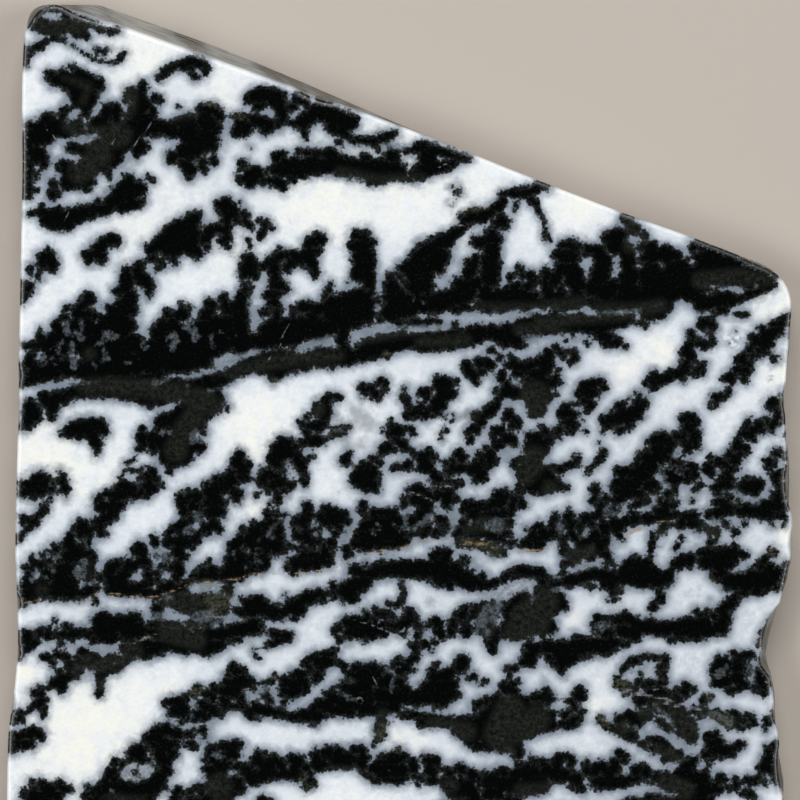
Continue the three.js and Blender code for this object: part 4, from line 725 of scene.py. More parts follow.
    (46.8,81.8,.6), (54.4,81.8,.5, 55.6,81.6,.9, 57.2,81.8,1, 59,81.6,.8, 60.4,81.2,.5),
    (62,80.6,.3, 63.4,80.2,.6), (64.6,80.6,.7, 66.2,80.6,.8, 68,80.4,.9, 69.6,80.2,.7, 71,80.2,.4),
    (66.8,81.8,.5), (75.2,80.4,.35, 75.8,81,.45),
    # More dabs over the whole face.
    (18.4,6.5,.5, 19.6,6.3,.6, 20.3,6.6,.45), (10.8,3.2,.2, 11.8,3.1,.2),
    (8.9,25.4,.55, 9.8,25.5,.65, 10.2,24.8,.5), (31,24.7,.5, 30.7,25.2,.5, 31.6,25.2,.5),
    (45.6,30.9,.35, 46.6,30.7,.4, 47.4,30.9,.3), (73,30.1,.35, 74.6,29.6,.35, 76.2,29,.4, 77.2,28.5,.3),
    (17.4,60.2,.8, 19.5,60.6,1.1, 21.8,60.5,1.1), (18.4,58.6,.4, 17.6,59.2,.5), (19,62.3,.3, 22,62,.3),
    (68.6,42.6,.5, 68.4,44,.5), (45.8,54.2,.3, 47.4,54.3,.4, 49,54.7,.45, 50.3,55.2,.3), (49.4,55.3,.4),
    (40.2,58.4,.25, 40.3,59.4,.2, 40,60.4,.3), (48.4,61.2,.9, 48.6,62.6,1), (49.6,63.4,.65, 49.2,64.8,.3),
    (62.3,66.9,.25, 63,66.1,.3, 64,65.7,.2, 65.4,65.7,.25, 66.5,65.7,.3, 66.4,67,.3, 66.2,67.7,.3),
    (27.3,63.4,.4, 28.7,63.6,.4), (27,64.2,.25), (25,14.7,.05), (6,13.2,.25, 7.4,13.2,.2, 9.2,13.2,.35),
    (9.6,14.1,.2), (38,72,.4, 38,73.4,.4, 37.7,74.1,.2), (70.3,71.5,.35, 71.6,71.3,.35, 73,72.4,.4),
    (77,62.2,.1, 76.6,63,.3, 76.5,64,.3, 76.6,65.2,.2), (20.8,75.2,.4, 21.6,74.8,.3, 22.6,74.6,.5),
    (20.6,76,.4, 22.4,76.2,.4),
]

# Growth cut back to white.
CLEAR = [
    (4.8,1.7,.2, 5.4,1.75,.28, 6,1.65,.15), (12.3,11.8,.2), (7.6,11.3,.45), (8.5,12,.35), (9.3,11.4,.4),
    (8.4,14.2,.3, 7.9,13.9,.15), (9.7,13.9,-.1),
    (26.7,10.7,.35, 26.4,11.2,.25, 27.2,11.3,.3, 27.6,11.8,.2), (29.3,11.4,.3, 30.2,11,.3),
    (40.9,16,.4, 41.1,16.6,.4, 40.7,17.1,.15),
    (46.8,23.4,.5, 46.4,24.8,.6, 45.4,26.4,.6, 45.6,27.2,.6, 44.6,28,.4, 43.6,28,.4, 43.8,28.9,.4,
     43.2,29.3,.15), (37.6,28.6,.25, 37.6,29.6,.25), (48.8,22.3,.3), (49.4,28.7,.25), (53.8,28.8,.3),
    (58.1,25.9,.2, 58.7,26.3,.35, 58.6,27.3,.15), (61.5,25.9,.25, 61.6,26.8,.4, 61.3,27.2,.3),
    (56.6,28.8,.2, 56.8,29.4,.2), (63.1,24.2,.25), (63.8,26.6,.25),
    (48,31.5,.25, 50.4,31.5,.2, 52,31.4,.15, 53.4,31,.25, 55,31,.25, 56.6,31.3,.2, 57.6,31.2,.25,
     58.6,31,.4, 59.6,31.4,.3, 60.2,31.5,.15), (66.2,26.4,.25), (69.1,26.3,.3),
    (71.2,29.3,.25, 70.6,29.2,.15), (72.3,28.7,.3), (74.2,29,.4, 73.6,29,.2),
    (68.2,30.3,.15, 68.2,31.2,.7, 68.3,32,1.2), (70.2,31.3,.1, 71.4,31.1,.1),
    (1.9,39.4,.7, 2.8,39.2,.55, 3.6,39,.4, 4.4,38.6,.3, 5.2,38.5,.4, 6,38.6,.5, 6.6,38.5,.4, 7.4,38.4,.2),
    (14.4,32,.8, 14.2,32.8,.5, 14.1,33.5,.25), (16,40.9,.4, 16.8,40.9,.35, 17.4,40.8,.2),
    (25.2,32.3,.45, 25.3,33,.3), (29.1,47.2,.4, 28.9,47.6,.4, 29.4,47.7,.3),
    (35.2,34.4,.4, 35.5,33.8,.45, 36.2,33.3,.45, 36.9,33,.35, 37.6,32.9,.35, 38.2,32.7,.35, 38.9,32.6,.35),
    (48.2,32.2,.4, 48.7,32.3,.25), (49.8,32.2,.35, 50.4,32.2,.3, 51.2,32.1,.3),
    (46.2,32.1,.4, 47,32.2,.45, 47.5,32.1,.3),
    (8.2,58.3,.3, 8.7,58.2,.2, 7.9,58.6,.2), (1.7,57.2,.5, 1.8,58,.4), (13.4,57.7,.25, 13.9,57.6,.2),
    (27.6,55.7,.2, 27.7,56.4,.55, 27.7,57.4,.6), (33.8,55.3,.2, 33.9,56,.25, 33.9,56.6,.4),
    (41.5,54,.25, 41.4,54.4,.4), (39.4,54.8,.12), (43.4,54.1,.25, 44.1,54.1,.4), (31.4,52.3,.3),
    (43.3,50.3,.1, 43.9,50.8,.25, 44.4,51.2,.25, 44.4,51.5,.15),
    (55.3,54.4,.15, 55.4,55.2,.35, 55.5,56.2,.5, 55.6,57,.35, 55.5,57.7,.12), (61.3,54.1,.2, 61.4,54.6,.3),
    (61.8,55.4,.5, 61.7,56,.4, 61.7,56.8,.25), (54.7,54.4,.35), (75.8,53.8,1.6),
    (68.6,48.6,.4, 68.7,49.3,.6, 68.6,50,.5, 69.2,50.4,.6, 69.9,50.4,.5, 70.5,49.9,.5, 70.6,49.2,.35,
     70.6,48.5,.3),
    (28,75.5,.12), (24,76,.25, 24.5,75.7,.35, 25,75.3,.25), (71,72.6,.6), (69.1,69.9,.4, 69.3,70.3,.3),
    (57.7,76.9,.25), (65,72.9,.25, 66,73.1,.3, 66.9,73.4,.3, 67.8,74.2,.4, 68.6,74.9,.45, 69.3,75.3,.35),
    (45.7,18.9,.75, 45.1,20.2,.5), (33.3,43.1,.45, 34.8,42.6,.45), (5.5,61.8,.45), (9.3,60.3,.3),
    (19.8,58.6,.25, 20.9,58.7,.25), (39.9,38.5,.3), (45,41.8,.5), (64,39.2,.5), (25.7,65.3,.6),
    (26.2,62.6,.3), (29.4,70.6,.45, 31,69.6,.5, 33.4,67.6,.85),
    (52,64.3,.35, 52.9,63.9,.25, 53.8,63.75,.15),
    (12.9,77.2,.6, 13.8,77.3,.5, 14.8,76.6,.45, 15.2,75.8,.25), (37.2,75.2,.5, 37.4,76,.2),
    (22.9,77.3,.35, 23.6,77.3,.3), (51,76.1,.25, 52.6,76,.2), (63.6,67,.5, 65,66.7,.5),
    (70.4,72.6,.5, 71.2,72.5,.4), (12.2,46.3,.6, 13.8,46.4,.5), (66.1,54.3,.7, 66.6,53.6,.4),
    (45,18.4,.9, 45.6,19.8,.6), (29.1,70.7,.6, 30.4,70.2,.65, 31.4,69.3,.6), (26.4,63.4,.35, 26.3,64.2,.3),
]

# Blue-grey flecks where the growth is thin.
FLECK = [
    # The top strips.
    (9.4,4.7,.3, 10,5,.4, 10.7,4.8,.35, 10.2,5.4,.3), (17.9,7.3,.3), (25,14.9,.25), (25,30.2,.4),
    (37.8,30.8,.3), (41.4,29.8,.2), (42.3,30.2,.2), (60,22.4,.2), (75.6,28.7,.3), (74.4,26.5,.2),
    (60.2,31.4,.2, 64,31,.2), (38.2,14.6,.3, 40.5,14.6,.3),
    # The third strip.
    (7.4,38.4,.2, 8.2,38.3,.2, 8.8,38.3,.2), (6.7,32.3,.3, 6.6,33.2,.3, 7,33.4,.25),
    (8.3,32.3,.25, 8,33.1,.3, 7.6,33.3,.25, 8.2,33.9,.3),
    (7.3,34.4,.3, 7.2,35.3,.35, 7.3,36.1,.35, 7.4,36.7,.35),
    (4.4,35.6,.25, 4.1,36,.3, 4.3,36.5,.25, 4.6,36,.15), (5,35,.1), (5.3,35.8,.15, 5.5,36.4,.15),
    (6.3,33.9,.1, 6.1,34.5,.12, 5.8,35.2,.15, 6.3,35.5,.1), (10.6,33.4,.4, 11.2,33.7,.45, 11.8,33.6,.25),
    (10.3,34.2,.3, 9.6,34.4,.15), (10.4,34.9,.15, 10.5,35.7,.3, 10.3,36.2,.15, 11,35.8,.15),
    (4.4,33.2,.2, 4.7,33.6,.15), (14.3,34.3,.2, 14.4,34.8,.25, 14.8,34.7,.15), (13.8,35.8,.15),
    (12.5,36.4,.12, 13.3,36.2,.12), (9.3,36.2,.1, 9.6,36.8,.1), (9.6,32.2,.2), (15.4,38.2,.3, 16,38.3,.3),
    (17.3,33.6,.45, 17.6,34.1,.4, 17.2,34.6,.35, 17.2,35.1,.2), (16.7,33.9,.2),
    (18.9,32.3,.45, 18.5,32.8,.3, 19.4,33,.3, 19.6,33.7,.4, 19.3,34.1,.2),
    (21.1,33.5,.2, 21.1,34.2,.12, 21.4,34.7,.15), (22.1,33.2,.15), (23,33.9,.15), (23.7,33.5,.12),
    (25.8,32.1,.3, 26.3,32.2,.25), (16.2,38.2,.3, 16.9,37.8,.15), (18.6,37.7,.25, 19.4,37.6,.3, 20,37.6,.2),
    (20.8,37.3,.15, 21.5,37,.2, 22.2,36.5,.15, 22.6,36,.25, 23.2,35.9,.35, 24,35.7,.35, 24.6,35.6,.25),
    (25.3,35.3,.2, 26,35.2,.15), (29.5,35.1,.2, 30.3,34.8,.25, 31,34.5,.35, 31.8,34.3,.4, 32,34.3,.4),
    (32.2,34.2,.45, 33,33.8,.35, 33.4,33.6,.2), (16.2,43.2,.3, 17,43.3,.2),
    (19.5,43.3,.5, 19.2,44.1,.35, 20.1,44.1,.25), (18.8,38.5,.2, 18.5,38.7,.1), (20.8,39,.15, 22.6,39,.15),
    (28.8,46,.2, 28.6,46.7,.2),
    (38.9,32.7,.25, 39.5,32.8,.25, 40.5,32.7,.25, 41.5,32.8,.25, 42.5,32.7,.35, 43.4,32.8,.35,
     44.4,32.7,.4, 45,32.5,.3), (47.4,36.6,.2), (52.6,33.9,.4, 53.5,33.8,.4, 53.2,34.2,.4),
    (51.6,38.1,.25, 51.9,38.6,.2), (55,42.6,.2), (69.5,33,.12, 69.9,33.6,.12), (77.9,40.9,.2),
    (71.8,47.2,.3), (67.9,45,.3, 67.5,45.5,.35), (65.9,46.4,.2, 66,47.2,.3, 66.4,47.8,.35),
    (66.8,46.8,.12, 67.6,47.2,.12, 68.4,47.6,.12), (67,46.3,.1, 67.8,46.9,.12), (76.9,38,.2, 77.2,37.7,.15),
    (58.3,43.4,.1),
    # The fourth strip.
    (10.4,49.7,.12, 10.7,49.9,.2), (13.8,48.3,.15, 14.1,48.1,.15), (5.9,55.6,.25, 5.5,55.9,.15),
    (3.5,57.4,.3), (3.2,58,.25), (4.6,57.7,.2), (5.4,57.1,.2), (7.6,57.3,.2), (9.4,58.2,.25),
    (8.5,54.2,.25, 8.7,54.8,.15), (15.5,54.9,.2, 15.3,55.4,.25, 15.8,55.8,.2, 15.4,56.6,.25, 15.6,57,.15),
    (12.5,58.6,.1), (20.4,50.9,.18), (19.7,50.4,.12), (22.8,49.5,.2, 22.6,50,.15),
    (19.4,51.3,.25, 20,52.1,.3, 19.5,52.1,.2), (19,52.6,.25, 18.6,53.2,.35, 19.3,53.2,.15), (17.4,53.5,.25),
    (16.6,55.4,.4, 16.4,56,.35), (16.3,57.2,.25, 16.4,57.7,.3, 16.5,58.2,.2),
    (27.1,52.9,.3, 26.9,53.5,.25, 27.2,53.8,.15), (25.8,54.8,.15, 25.6,55.2,.12), (25.6,56,.25, 26,56.3,.2),
    (23.4,55.3,.25), (24.6,56.6,.12, 24.5,57,.1), (29.3,55.3,.25), (30.7,54.5,.15), (31.6,53.4,.25),
    (29.8,52.8,.12), (20,58.4,.3, 21,58.6,.45, 21.8,59,.4), (20.2,58.9,.35), (16.6,59.9,.25, 17.2,59.7,.2),
    (19.8,61.9,.35, 20.6,61.8,.4, 21.3,61.8,.25),
    (22.2,61.9,.25, 22.9,61.7,.3, 23.6,61.8,.25, 24.2,62.1,.2), (21.8,62.3,.3, 21.4,62.7,.2),
    (16.2,61.9,.25, 16.7,62,.15), (19.2,63,.2), (26.4,63.6,.3), (37.8,52.4,.18, 37.9,52.8,.15),
    (37.4,53.4,.2), (39.3,52.4,.2), (39.9,53.2,.12),
    (40.9,51,.45, 40.6,51.3,.3, 40.5,52.3,.25, 40.6,52.7,.2),
    (43,51.6,.4, 42.6,52.2,.35, 41.9,52.4,.3, 43.4,51.9,.25), (45.4,50.7,.3),
    (45.2,51.9,.3, 45.3,52.6,.3, 45.1,53.1,.2), (41.5,52.9,.3), (32.3,53.2,.25),
    (34.9,53.4,.35, 34.7,53,.3, 35.2,52.6,.25), (34.4,54.2,.25), (32.6,54.6,.15),
    (41,63.4,.3, 41.3,63.2,.2), (42.4,63,.25, 42.6,63.3,.2), (47.6,62.2,.25, 48,61.9,.3), (46,63.7,.3),
    (49.3,52.2,.35, 50,52.6,.35, 49.8,53.1,.3, 49,52.9,.25), (56,52.4,.3, 56,53,.3),
    (60.8,50.9,.4, 60.6,51.4,.35, 61.4,51.3,.3), (62.2,50.8,.25, 62,51.4,.25, 62.5,50.4,.18),
    (60.9,49.4,.2, 60.6,49,.15), (58.6,53.3,.4, 58.9,52.9,.25, 58.3,53.6,.2),
    (57.4,57,.2, 58.2,56.7,.35, 58.8,56.5,.35, 59.5,56.5,.3, 60.2,56.4,.25), (59.2,55,.2),
    (50.6,58.8,.25, 51.4,58.4,.3, 52.2,58.3,.35, 53,58.3,.2), (49.4,62,.35), (48.5,62,.35), (48.7,63.2,.4),
    (49.6,59.4,.3, 50.6,59.3,.35, 51.6,59.1,.35, 52.6,58.9,.25), (55.5,59,.25, 56.3,58.9,.15),
    (53.3,59.4,.12, 53.2,60.2,.18), (60.1,62.9,.3), (61.5,62.7,.2),
    (66.3,48.3,.3, 66.8,48.6,.35, 66.4,48.9,.25), (65.5,49.6,.3, 65.7,50.1,.2, 65.2,50.5,.3, 64.6,50.9,.3),
    (72.3,49.2,.25), (73.6,49.3,.35, 74.2,49.8,.3, 74.6,50.2,.15), (75.6,50.3,.35, 76,49.8,.25, 75.2,50,.3),
    (76.8,48.4,.3, 76.9,49,.25), (77.9,52.2,.25), (71.6,52.2,.3, 71.3,51.9,.2), (72.8,51.8,.2),
    (73.6,57.3,.15, 74.6,57.3,.12), (78,56.5,.25),
    # The fifth strip.
    (12.9,76.6,.3, 12.7,77.4,.35, 13.6,77.9,.4, 14.4,77,.4, 15,76.4,.35, 15.2,75.8,.2), (13.6,76.6,.3),
    (13.6,77.2,.5), (11.2,79.1,.25), (19.4,70.3,.35, 19.6,70.6,.3), (19.2,71.6,.2), (21.8,70,.18),
    (23.5,70.3,.2), (24.6,69.2,.2, 24.7,69.8,.3, 24.8,70.2,.25),
    (25.9,69.2,.3, 25.8,69.9,.35, 26.4,68.8,.3), (27,69.2,.25, 27.4,69.8,.2, 27.9,70.5,.18),
    (17.2,72.5,.25, 17.5,72.7,.15), (19.2,72.6,.3), (19.9,73.6,.3, 19.9,74.2,.25), (18.6,74.4,.12),
    (16.8,73.9,.15), (21.8,75.6,.35, 22.1,75.7,.3), (23,77.1,.25, 23.4,77.3,.2, 22.8,77.6,.15),
    (30.8,76,.12, 30.8,76.4,.1), (38.6,66.8,.2, 38.9,67,.2),
    (39.4,67.7,.15, 39.3,68.3,.18, 39.1,68.8,.25, 39.1,69.2,.12), (39.8,66.6,.15), (38.3,67.4,.12),
    (35.3,68.1,.12), (41,70.8,.1, 42,71,.18, 43,71.1,.18, 43.8,71.4,.15), (32.8,75.9,.2), (39.05,77.15,.12),
    (42,76.9,.1), (45.6,77.4,.1, 45.7,77.9,.1), (47.5,78,.15, 47.6,78.6,.12), (44.2,77.6,.15),
    (54.5,70.6,.25), (50.2,74,.15), (56.6,70.8,.15), (62.7,76.9,.3, 62.6,77.6,.15), (50.5,79.4,.2),
    (63.2,67.2,.3), (63.6,72.8,.35), (65.5,70.5,.2, 66.2,71.2,.2, 66.8,71.8,.25, 67.2,72.4,.25),
    (64.4,72.6,.25), (70.4,71.5,.18, 71.2,71.7,.12), (70.3,74.5,.3), (69.9,76.4,.35, 69.9,77,.2),
    (72,67.1,.3, 71.7,67.6,.25, 72.3,67.4,.25), (75,66.7,.4, 75.1,67.5,.35, 75.2,68.1,.2, 74.6,67.9,.18),
    (72.6,66.4,.12, 72.9,67,.12), (64.4,78.7,.25, 65.4,79,.3, 66.4,79.3,.25, 67.2,79.5,.2),
    (72.4,71.8,.3, 72.9,72.3,.3), (56.4,76.6,.2),
    # The foot.
    (4.2,80.5,.2, 4.8,80.7,.15), (12.4,80.4,.25, 12.9,80.6,.2), (21,80.6,.2), (46.2,80.9,.3),
    (57.2,82,.3, 57.9,81.8,.2), (67.4,80.7,.25),
    # More dabs over the whole face.
    (72.7,34.7,.05, 73,34.2,.07, 73.4,33.7,.1, 73.6,33.3,.05), (72.9,33.5,.05, 73.5,34,.05),
    (32.6,43.5,.3, 33.6,43.1,.4, 34.8,42.7,.3), (37.6,30.7,.3), (6.8,12.2,.3), (8.4,12.4,.2, 8.8,13.2,.15),
    (19.6,61.7,.5, 21.2,61.3,.35), (21.2,62.3,.25, 23.6,61.8,.3), (15.2,61.6,.4, 16.4,61.4,.4), (8,57.3,.7),
    (8.4,56.2,.4), (48.8,60.8,.5, 48,62.3,.6), (49.8,60.2,.5, 49.4,62.2,.4), (47.6,63.2,.3),
    (60,62.6,.5, 60.9,62.4,.3), (59.6,63.2,.3), (70.3,71.5,.2, 71.6,71.3,.25, 73,72.3,.3), (67,73.4,.3),
    (47,52.2,.3), (48.8,52.6,.4), (49.8,52,.3), (22,69.6,.2), (34,69.4,.25, 35.4,70,.25),
    (21.3,75.5,.25, 22,75.5,.2), (25,14.7,.15), (3.8,1,.1, 5.2,.8,.1), (7.2,1.8,.25),
    (7.8,14,.3, 8.8,13.9,.35, 9.7,13.6,.3),
]

# Black dabs over the flecks.
LATE = [
    (33.2,43,.2, 34.2,42.7,.2, 34.9,42.7,.2), (34.5,43.2,.15), (33.2,43.5,.3, 33.8,43.3,.2), (32.4,43.9,.3),
    (32,44.2,.25), (44.6,43,.2, 44.2,43.4,.12, 44.2,43.9,.12), (62.9,40,.15, 63.5,40.2,.2, 64,39.8,.25),
    (69.1,50.1,.2), (69.5,48.9,.25), (69.9,48.4,.3), (69.8,48.9,.15),
    (13.5,77.25,.25), (14.8,76,.25),
    (9.6,5,.15, 10.3,5.2,.3, 10.8,4.9,.1), (37.7,31.4,.3, 37.9,32,.3), (37.7,29.9,.2),
    (39.8,27.4,.2, 40.4,28.6,.2, 40.8,29.4,.15), (25.4,65,-.08, 25.7,65.6,-.12), (13.5,77.2,.2),
    (64,67.4,.12), (45.2,18.7,.05, 45.7,19.2,.12, 46,18.8,.05), (12.6,46.3,.1, 13.4,45.9,.08),
    (12.4,47.1,.08), (72.8,34.3,-.08, 73.1,34.4,-.08), (73.5,33.1,-.08), (73.7,34,-.1),
]

# Smoky brown-grey growth, softer than the black.
SMOKE = [
    (6.5,2.6,.5, 8.5,2.8,.5), (34,17.2,.5, 38,18,.5, 42,17.8,.5), (48,30.6,.3, 56,30.6,.3, 64,30.6,.3),
    (17.2,11.6,.3, 18.4,11.6,.3, 19.5,11.6,.2),
    (8.5,38.7,.8, 11,38.6,.9, 13.5,38.8,.9, 16,39,1, 18.5,39.4,1, 20.5,40.2,1.2, 21.6,40.6,.9),
    (19.5,41.6,1.1, 18.2,43,.9, 17.6,45,1.2), (23,37.3,.5, 26,36.5,.7, 29,36,.7, 32,35.7,.7, 34,35.6,.5),
    (33.2,43.2,.5, 34.4,42.9,.4), (53.5,39.6,1.5, 53.6,41,1), (53.4,46,1.4, 52.6,47.4,1),
    (42,34.2,.5, 46.5,34,.6), (52,33,.6, 56,32.6,.6), (70.8,33.3,.5), (9,35.4,.6), (40.6,39.4,.5),
    (8.5,56.6,.7), (17.5,60.6,1.3, 20,60.6,1.5, 21.6,60.4,1.2), (16.5,62.6,.8, 19.5,62.5,.5, 22,61.2,.6),
    (38.4,58,.25, 39.4,58.1,.3, 40.2,58.2,.3, 40.4,58.9,.2, 40.2,59.6,.2, 40.2,60.1,.2), (41.8,52.9,.5),
    (54.5,60,1.4, 53,62,2, 51.4,63.2,1), (57.6,55.7,1, 59,55.1,.5), (58.9,58.6,.4), (62,59,.5),
    (48.6,62.8,1), (49.2,60.2,.6), (66.2,53.4,.6), (70.6,52.8,.7, 72.6,52.9,.5), (48,55.2,.3, 50,55.4,.4),
    (55,48.9,.8), (4.2,59,.6), (22.9,59.2,.5), (62,59,.4),
    (13.4,65.2,.9, 11,66.4,.8, 7.6,66.9,.6), (10,68.4,.6), (38.2,71.4,.5, 38,72.6,.5, 37.7,73.8,.35),
    (43,72.2,.5, 46.6,73.2,1), (33,76.9,.3, 34.4,77,.3, 35.6,77.1,.3),
    (51,71,1.5, 50,73.4,1.6, 53.6,72,1.4), (50.8,75,.8), (62.4,68.6,.7, 63.4,69.4,.6), (62.4,72.8,.8),
    (66,70.6,1, 67.6,71.8,1.2, 69,73.4,.9), (64.6,71.4,.8), (66.4,78.2,.8, 68.4,79,1), (72.6,71.9,.7),
    (22,78.6,1.3), (64.4,74.6,.4), (72.4,72.4,.4), (8.8,66.2,.8), (45,78.6,.8), (55,78.7,.5, 52,79,.6),
    (11,80.4,1, 14,80.4,.8), (46,80.8,1), (67,80.8,1), (22,80.4,.9),
    (7,12.5,.8, 9.5,14,1.2, 12,13.5,1.2), (8,17.2,1.2, 10,15.5,1.2), (13,9.5,.8, 13,11,.6),
    (17,11.6,.6, 19,11.4,.5), (6.4,7.8,.2, 8.8,8.6,.4, 8.3,10.2,.3), (4,2.6,.8, 7,2.6,.8, 10,2.8,.4),
    (62.6,22,.8, 64,23.6,.8, 63,24.6,.7), (31.8,41,.7), (70,28,.8, 74,27.6,.8, 76.6,28,.6),
    (54,32.2,.6, 62,31.4,.7, 66,30.6,.7), (22,37,.5), (36,33.9,.5, 42,33,.4), (49.6,31.2,.4, 58,30.2,.5),
    (18,60.2,1, 21.8,60.6,1.3), (8.2,57,.8), (46.6,53,.4, 48.4,52.4,.8, 50.6,52.6,.4),
    (46,54.2,.5, 50,55,.6), (47.4,41.6,.5), (48.6,61.4,.9, 48.6,62.6,.9), (38,72.4,.6, 37.8,74,.4),
    (70.3,71.4,.6, 73,72.4,.7), (66,75,.6, 67.6,76,.6), (16.6,63.4,.8, 19.6,64,1),
]

# Greenish or golden stain.
GREEN = [
    (20.4,10.2,.3, 21.5,10.6,.3), (23.3,11.4,.3, 24.2,11.8,.3), (12.5,26,.3, 13.2,26,.3),
    (23,25.4,.4, 23.8,25.8,.4),
    (46,41.7,.5, 46.7,41.4,.4), (48.1,37.9,.35), (62,35,.3, 62.7,35.1,.25), (44.2,43.4,.4), (27.3,38,.4),
    (77,37.9,.4), (38.6,35.4,.4), (15.4,38.4,.4),
    (33.9,49.3,.3, 34.2,49.1,.25), (34.9,49.9,.2, 35,49.4,.18, 35.2,49,.15), (21.5,60.2,.8, 21.5,61.2,.6),
    (20.2,59.2,.4, 21.3,58.5,.3), (78.5,52.7,.45), (71.3,58.2,.35, 72.1,58.9,.35), (70.8,57.6,.3),
    (77.2,55.2,.5), (28.8,56.4,.25), (49.4,55.6,.5), (70.4,50.9,.3),
    (19.4,69.4,.5, 20,68.8,.35), (27.4,67.7,.3), (60.2,71.9,.5, 60.8,72.6,.4), (39.9,75,.45),
    (37.8,73.4,.4), (61.9,68.2,.5, 62.6,68.8,.5), (71,69.7,.5), (72.1,72.3,.4), (31,79,.5), (30.2,77.9,.4),
    (3.2,78.4,.3), (4.3,73,.3), (75.8,64.3,.4),
    (34.6,20.7,.12, 35,21,.08), (37.4,20.7,.1, 37.7,21.1,.08), (31.6,19.3,.08, 32.1,19.6,.1),
    (28.8,21.6,.08, 29.2,22.4,.08), (42.3,19.6,.1, 42.6,20,.06),
    (45.4,18.7,.15, 45.8,19.1,.25, 46,19.4,.15), (45,20.2,.1, 45.3,19.9,.08), (40.2,20.4,.06),
    (47.2,20.9,.4, 48.4,20.7,.3), (58.6,23.6,.3), (2.5,12.4,.3), (5.4,11.4,.3), (46.4,21.4,.3),
    (19.2,58.4,.4, 21.2,58.3,.4), (22.6,60,.8, 21,60,.6), (38.2,72.6,.4, 38,73.8,.3),
    (71.6,71.6,.5, 73,72.4,.5), (45.4,41.5,.3, 46.6,41.6,.3), (71,57.4,.2, 71.8,58.6,.2), (77.6,52.8,.4),
    (77.2,54.4,.3), (68.2,66.1,.2), (46.4,54.2,.3, 49.8,54.8,.3),
]

# Soft grey haze over growth that lies deeper in the quartz.
HAZE = [
    (36,44.4,.5), (35.4,41,.8, 36.8,42.3,.9), (33.6,41.4,.5), (6.4,11.6,.3, 8,12.2,.3),
    (4.6,14.6,.5, 4.4,17.4,.4, 4.8,19.6,.3), (22.6,12.4,.3, 22.6,15,.3), (10,19.6,.2, 14,16.2,.3),
    (20,25.6,.3), (25.4,31,.3, 25.4,33,.2), (21,36.9,.3, 23.6,35.8,.4, 27,35,.3),
    (29.6,34.9,.3, 32.8,33.7,.5), (34.8,34.4,.3, 36.4,33.2,.4, 39,32.6,.4), (56,31,.2, 60,30.9,.3),
    (61.5,26,.3, 61.5,27,.3), (63.4,24,.4, 63.6,26,.3), (4.6,38.7,.3, 8.6,38.2,.3), (28.8,52,.3, 29,54,.3),
    (35.2,51.4,.4, 34.6,53.6,.4), (14,38.2,.3, 17,37.9,.3, 20,37.3,.3), (71,29,.4, 74.6,28.8,.4),
    (60,31.2,.4, 64.6,30.8,.3), (50.6,45.6,.8), (45,41.6,.5, 47.8,41.4,.5),
    (44,50.6,.5, 45.2,51.4,.6, 45.4,52.8,.6), (52.4,52.4,.4), (40.4,39,.4), (62.6,40,.4, 64,39.3,.5),
    (67.6,45,.6), (69.4,49.4,1), (75,50.1,.4), (71.6,52.2,.7, 73.6,52.4,.5), (3.3,57.4,.5), (16,55.2,.6),
    (5,64.4,.3, 11.4,64.8,.4), (25,64.5,.4, 25.4,65.4,.4), (25,69.4,.6, 26.6,68.6,.4, 27.8,70,.4),
    (46.8,55.6,.5, 47.8,56.6,.6), (46.8,67.6,.8), (47.6,68.7,.4), (63.6,67,.5, 65,66.6,.4), (20.8,73.4,.7),
    (22.8,77.3,.2), (19.4,70.3,.5), (43,60.2,.5), (71,60,.5), (66.4,73.6,.4, 69,74.8,.4), (71.6,72.4,.5),
    (53.4,58.6,.4), (60.4,56,.6), (54.4,68,.4), (35,64.4,.6), (13.2,76.4,.3), (21,71.8,.5), (37.4,73,.6),
    (55.6,63.4,.4), (61,60,.3), (40,46,.4, 42,44.6,.3), (33.8,43.2,.7, 34.8,44.4,.5),
    (28.6,51.4,.5, 28.8,54.2,.5), (35,51.4,.5, 34.4,54,.5), (21.2,72.8,.6, 20.8,74.2,.6), (26.3,63.2,.4),
]

# The foot of the slab goes on with the same growth: wandering strokes, row under row.
FOOT_SEED = 11
FOOT_TOP = 84.3
FOOT_END = 95.0
FOOT_ROW = 2.05
FOOT_RIGHT = 77
chance = np.random.default_rng(FOOT_SEED)
for row in np.arange(FOOT_TOP, FOOT_END, FOOT_ROW):
    u = chance.uniform(0.5, 3)
    while u < FOOT_RIGHT:
        dabs = []
        for _ in range(chance.integers(2, 8)):
            sway = chance.normal(0, 0.32) + 0.5 * math.sin(u * 0.35 + row)
            dabs += [u, row + sway, chance.uniform(0.35, 1.15)]
            u += chance.uniform(1.0, 1.6)
        MOSS.append(tuple(dabs))
        if chance.random() < 0.6:
            FLECK.append((dabs[0] + 1, dabs[1], 0.3))
        if chance.random() < 0.35:
            SMOKE.append((dabs[-3], dabs[-2], 1.1))
        u += chance.uniform(0.5, 2.3)

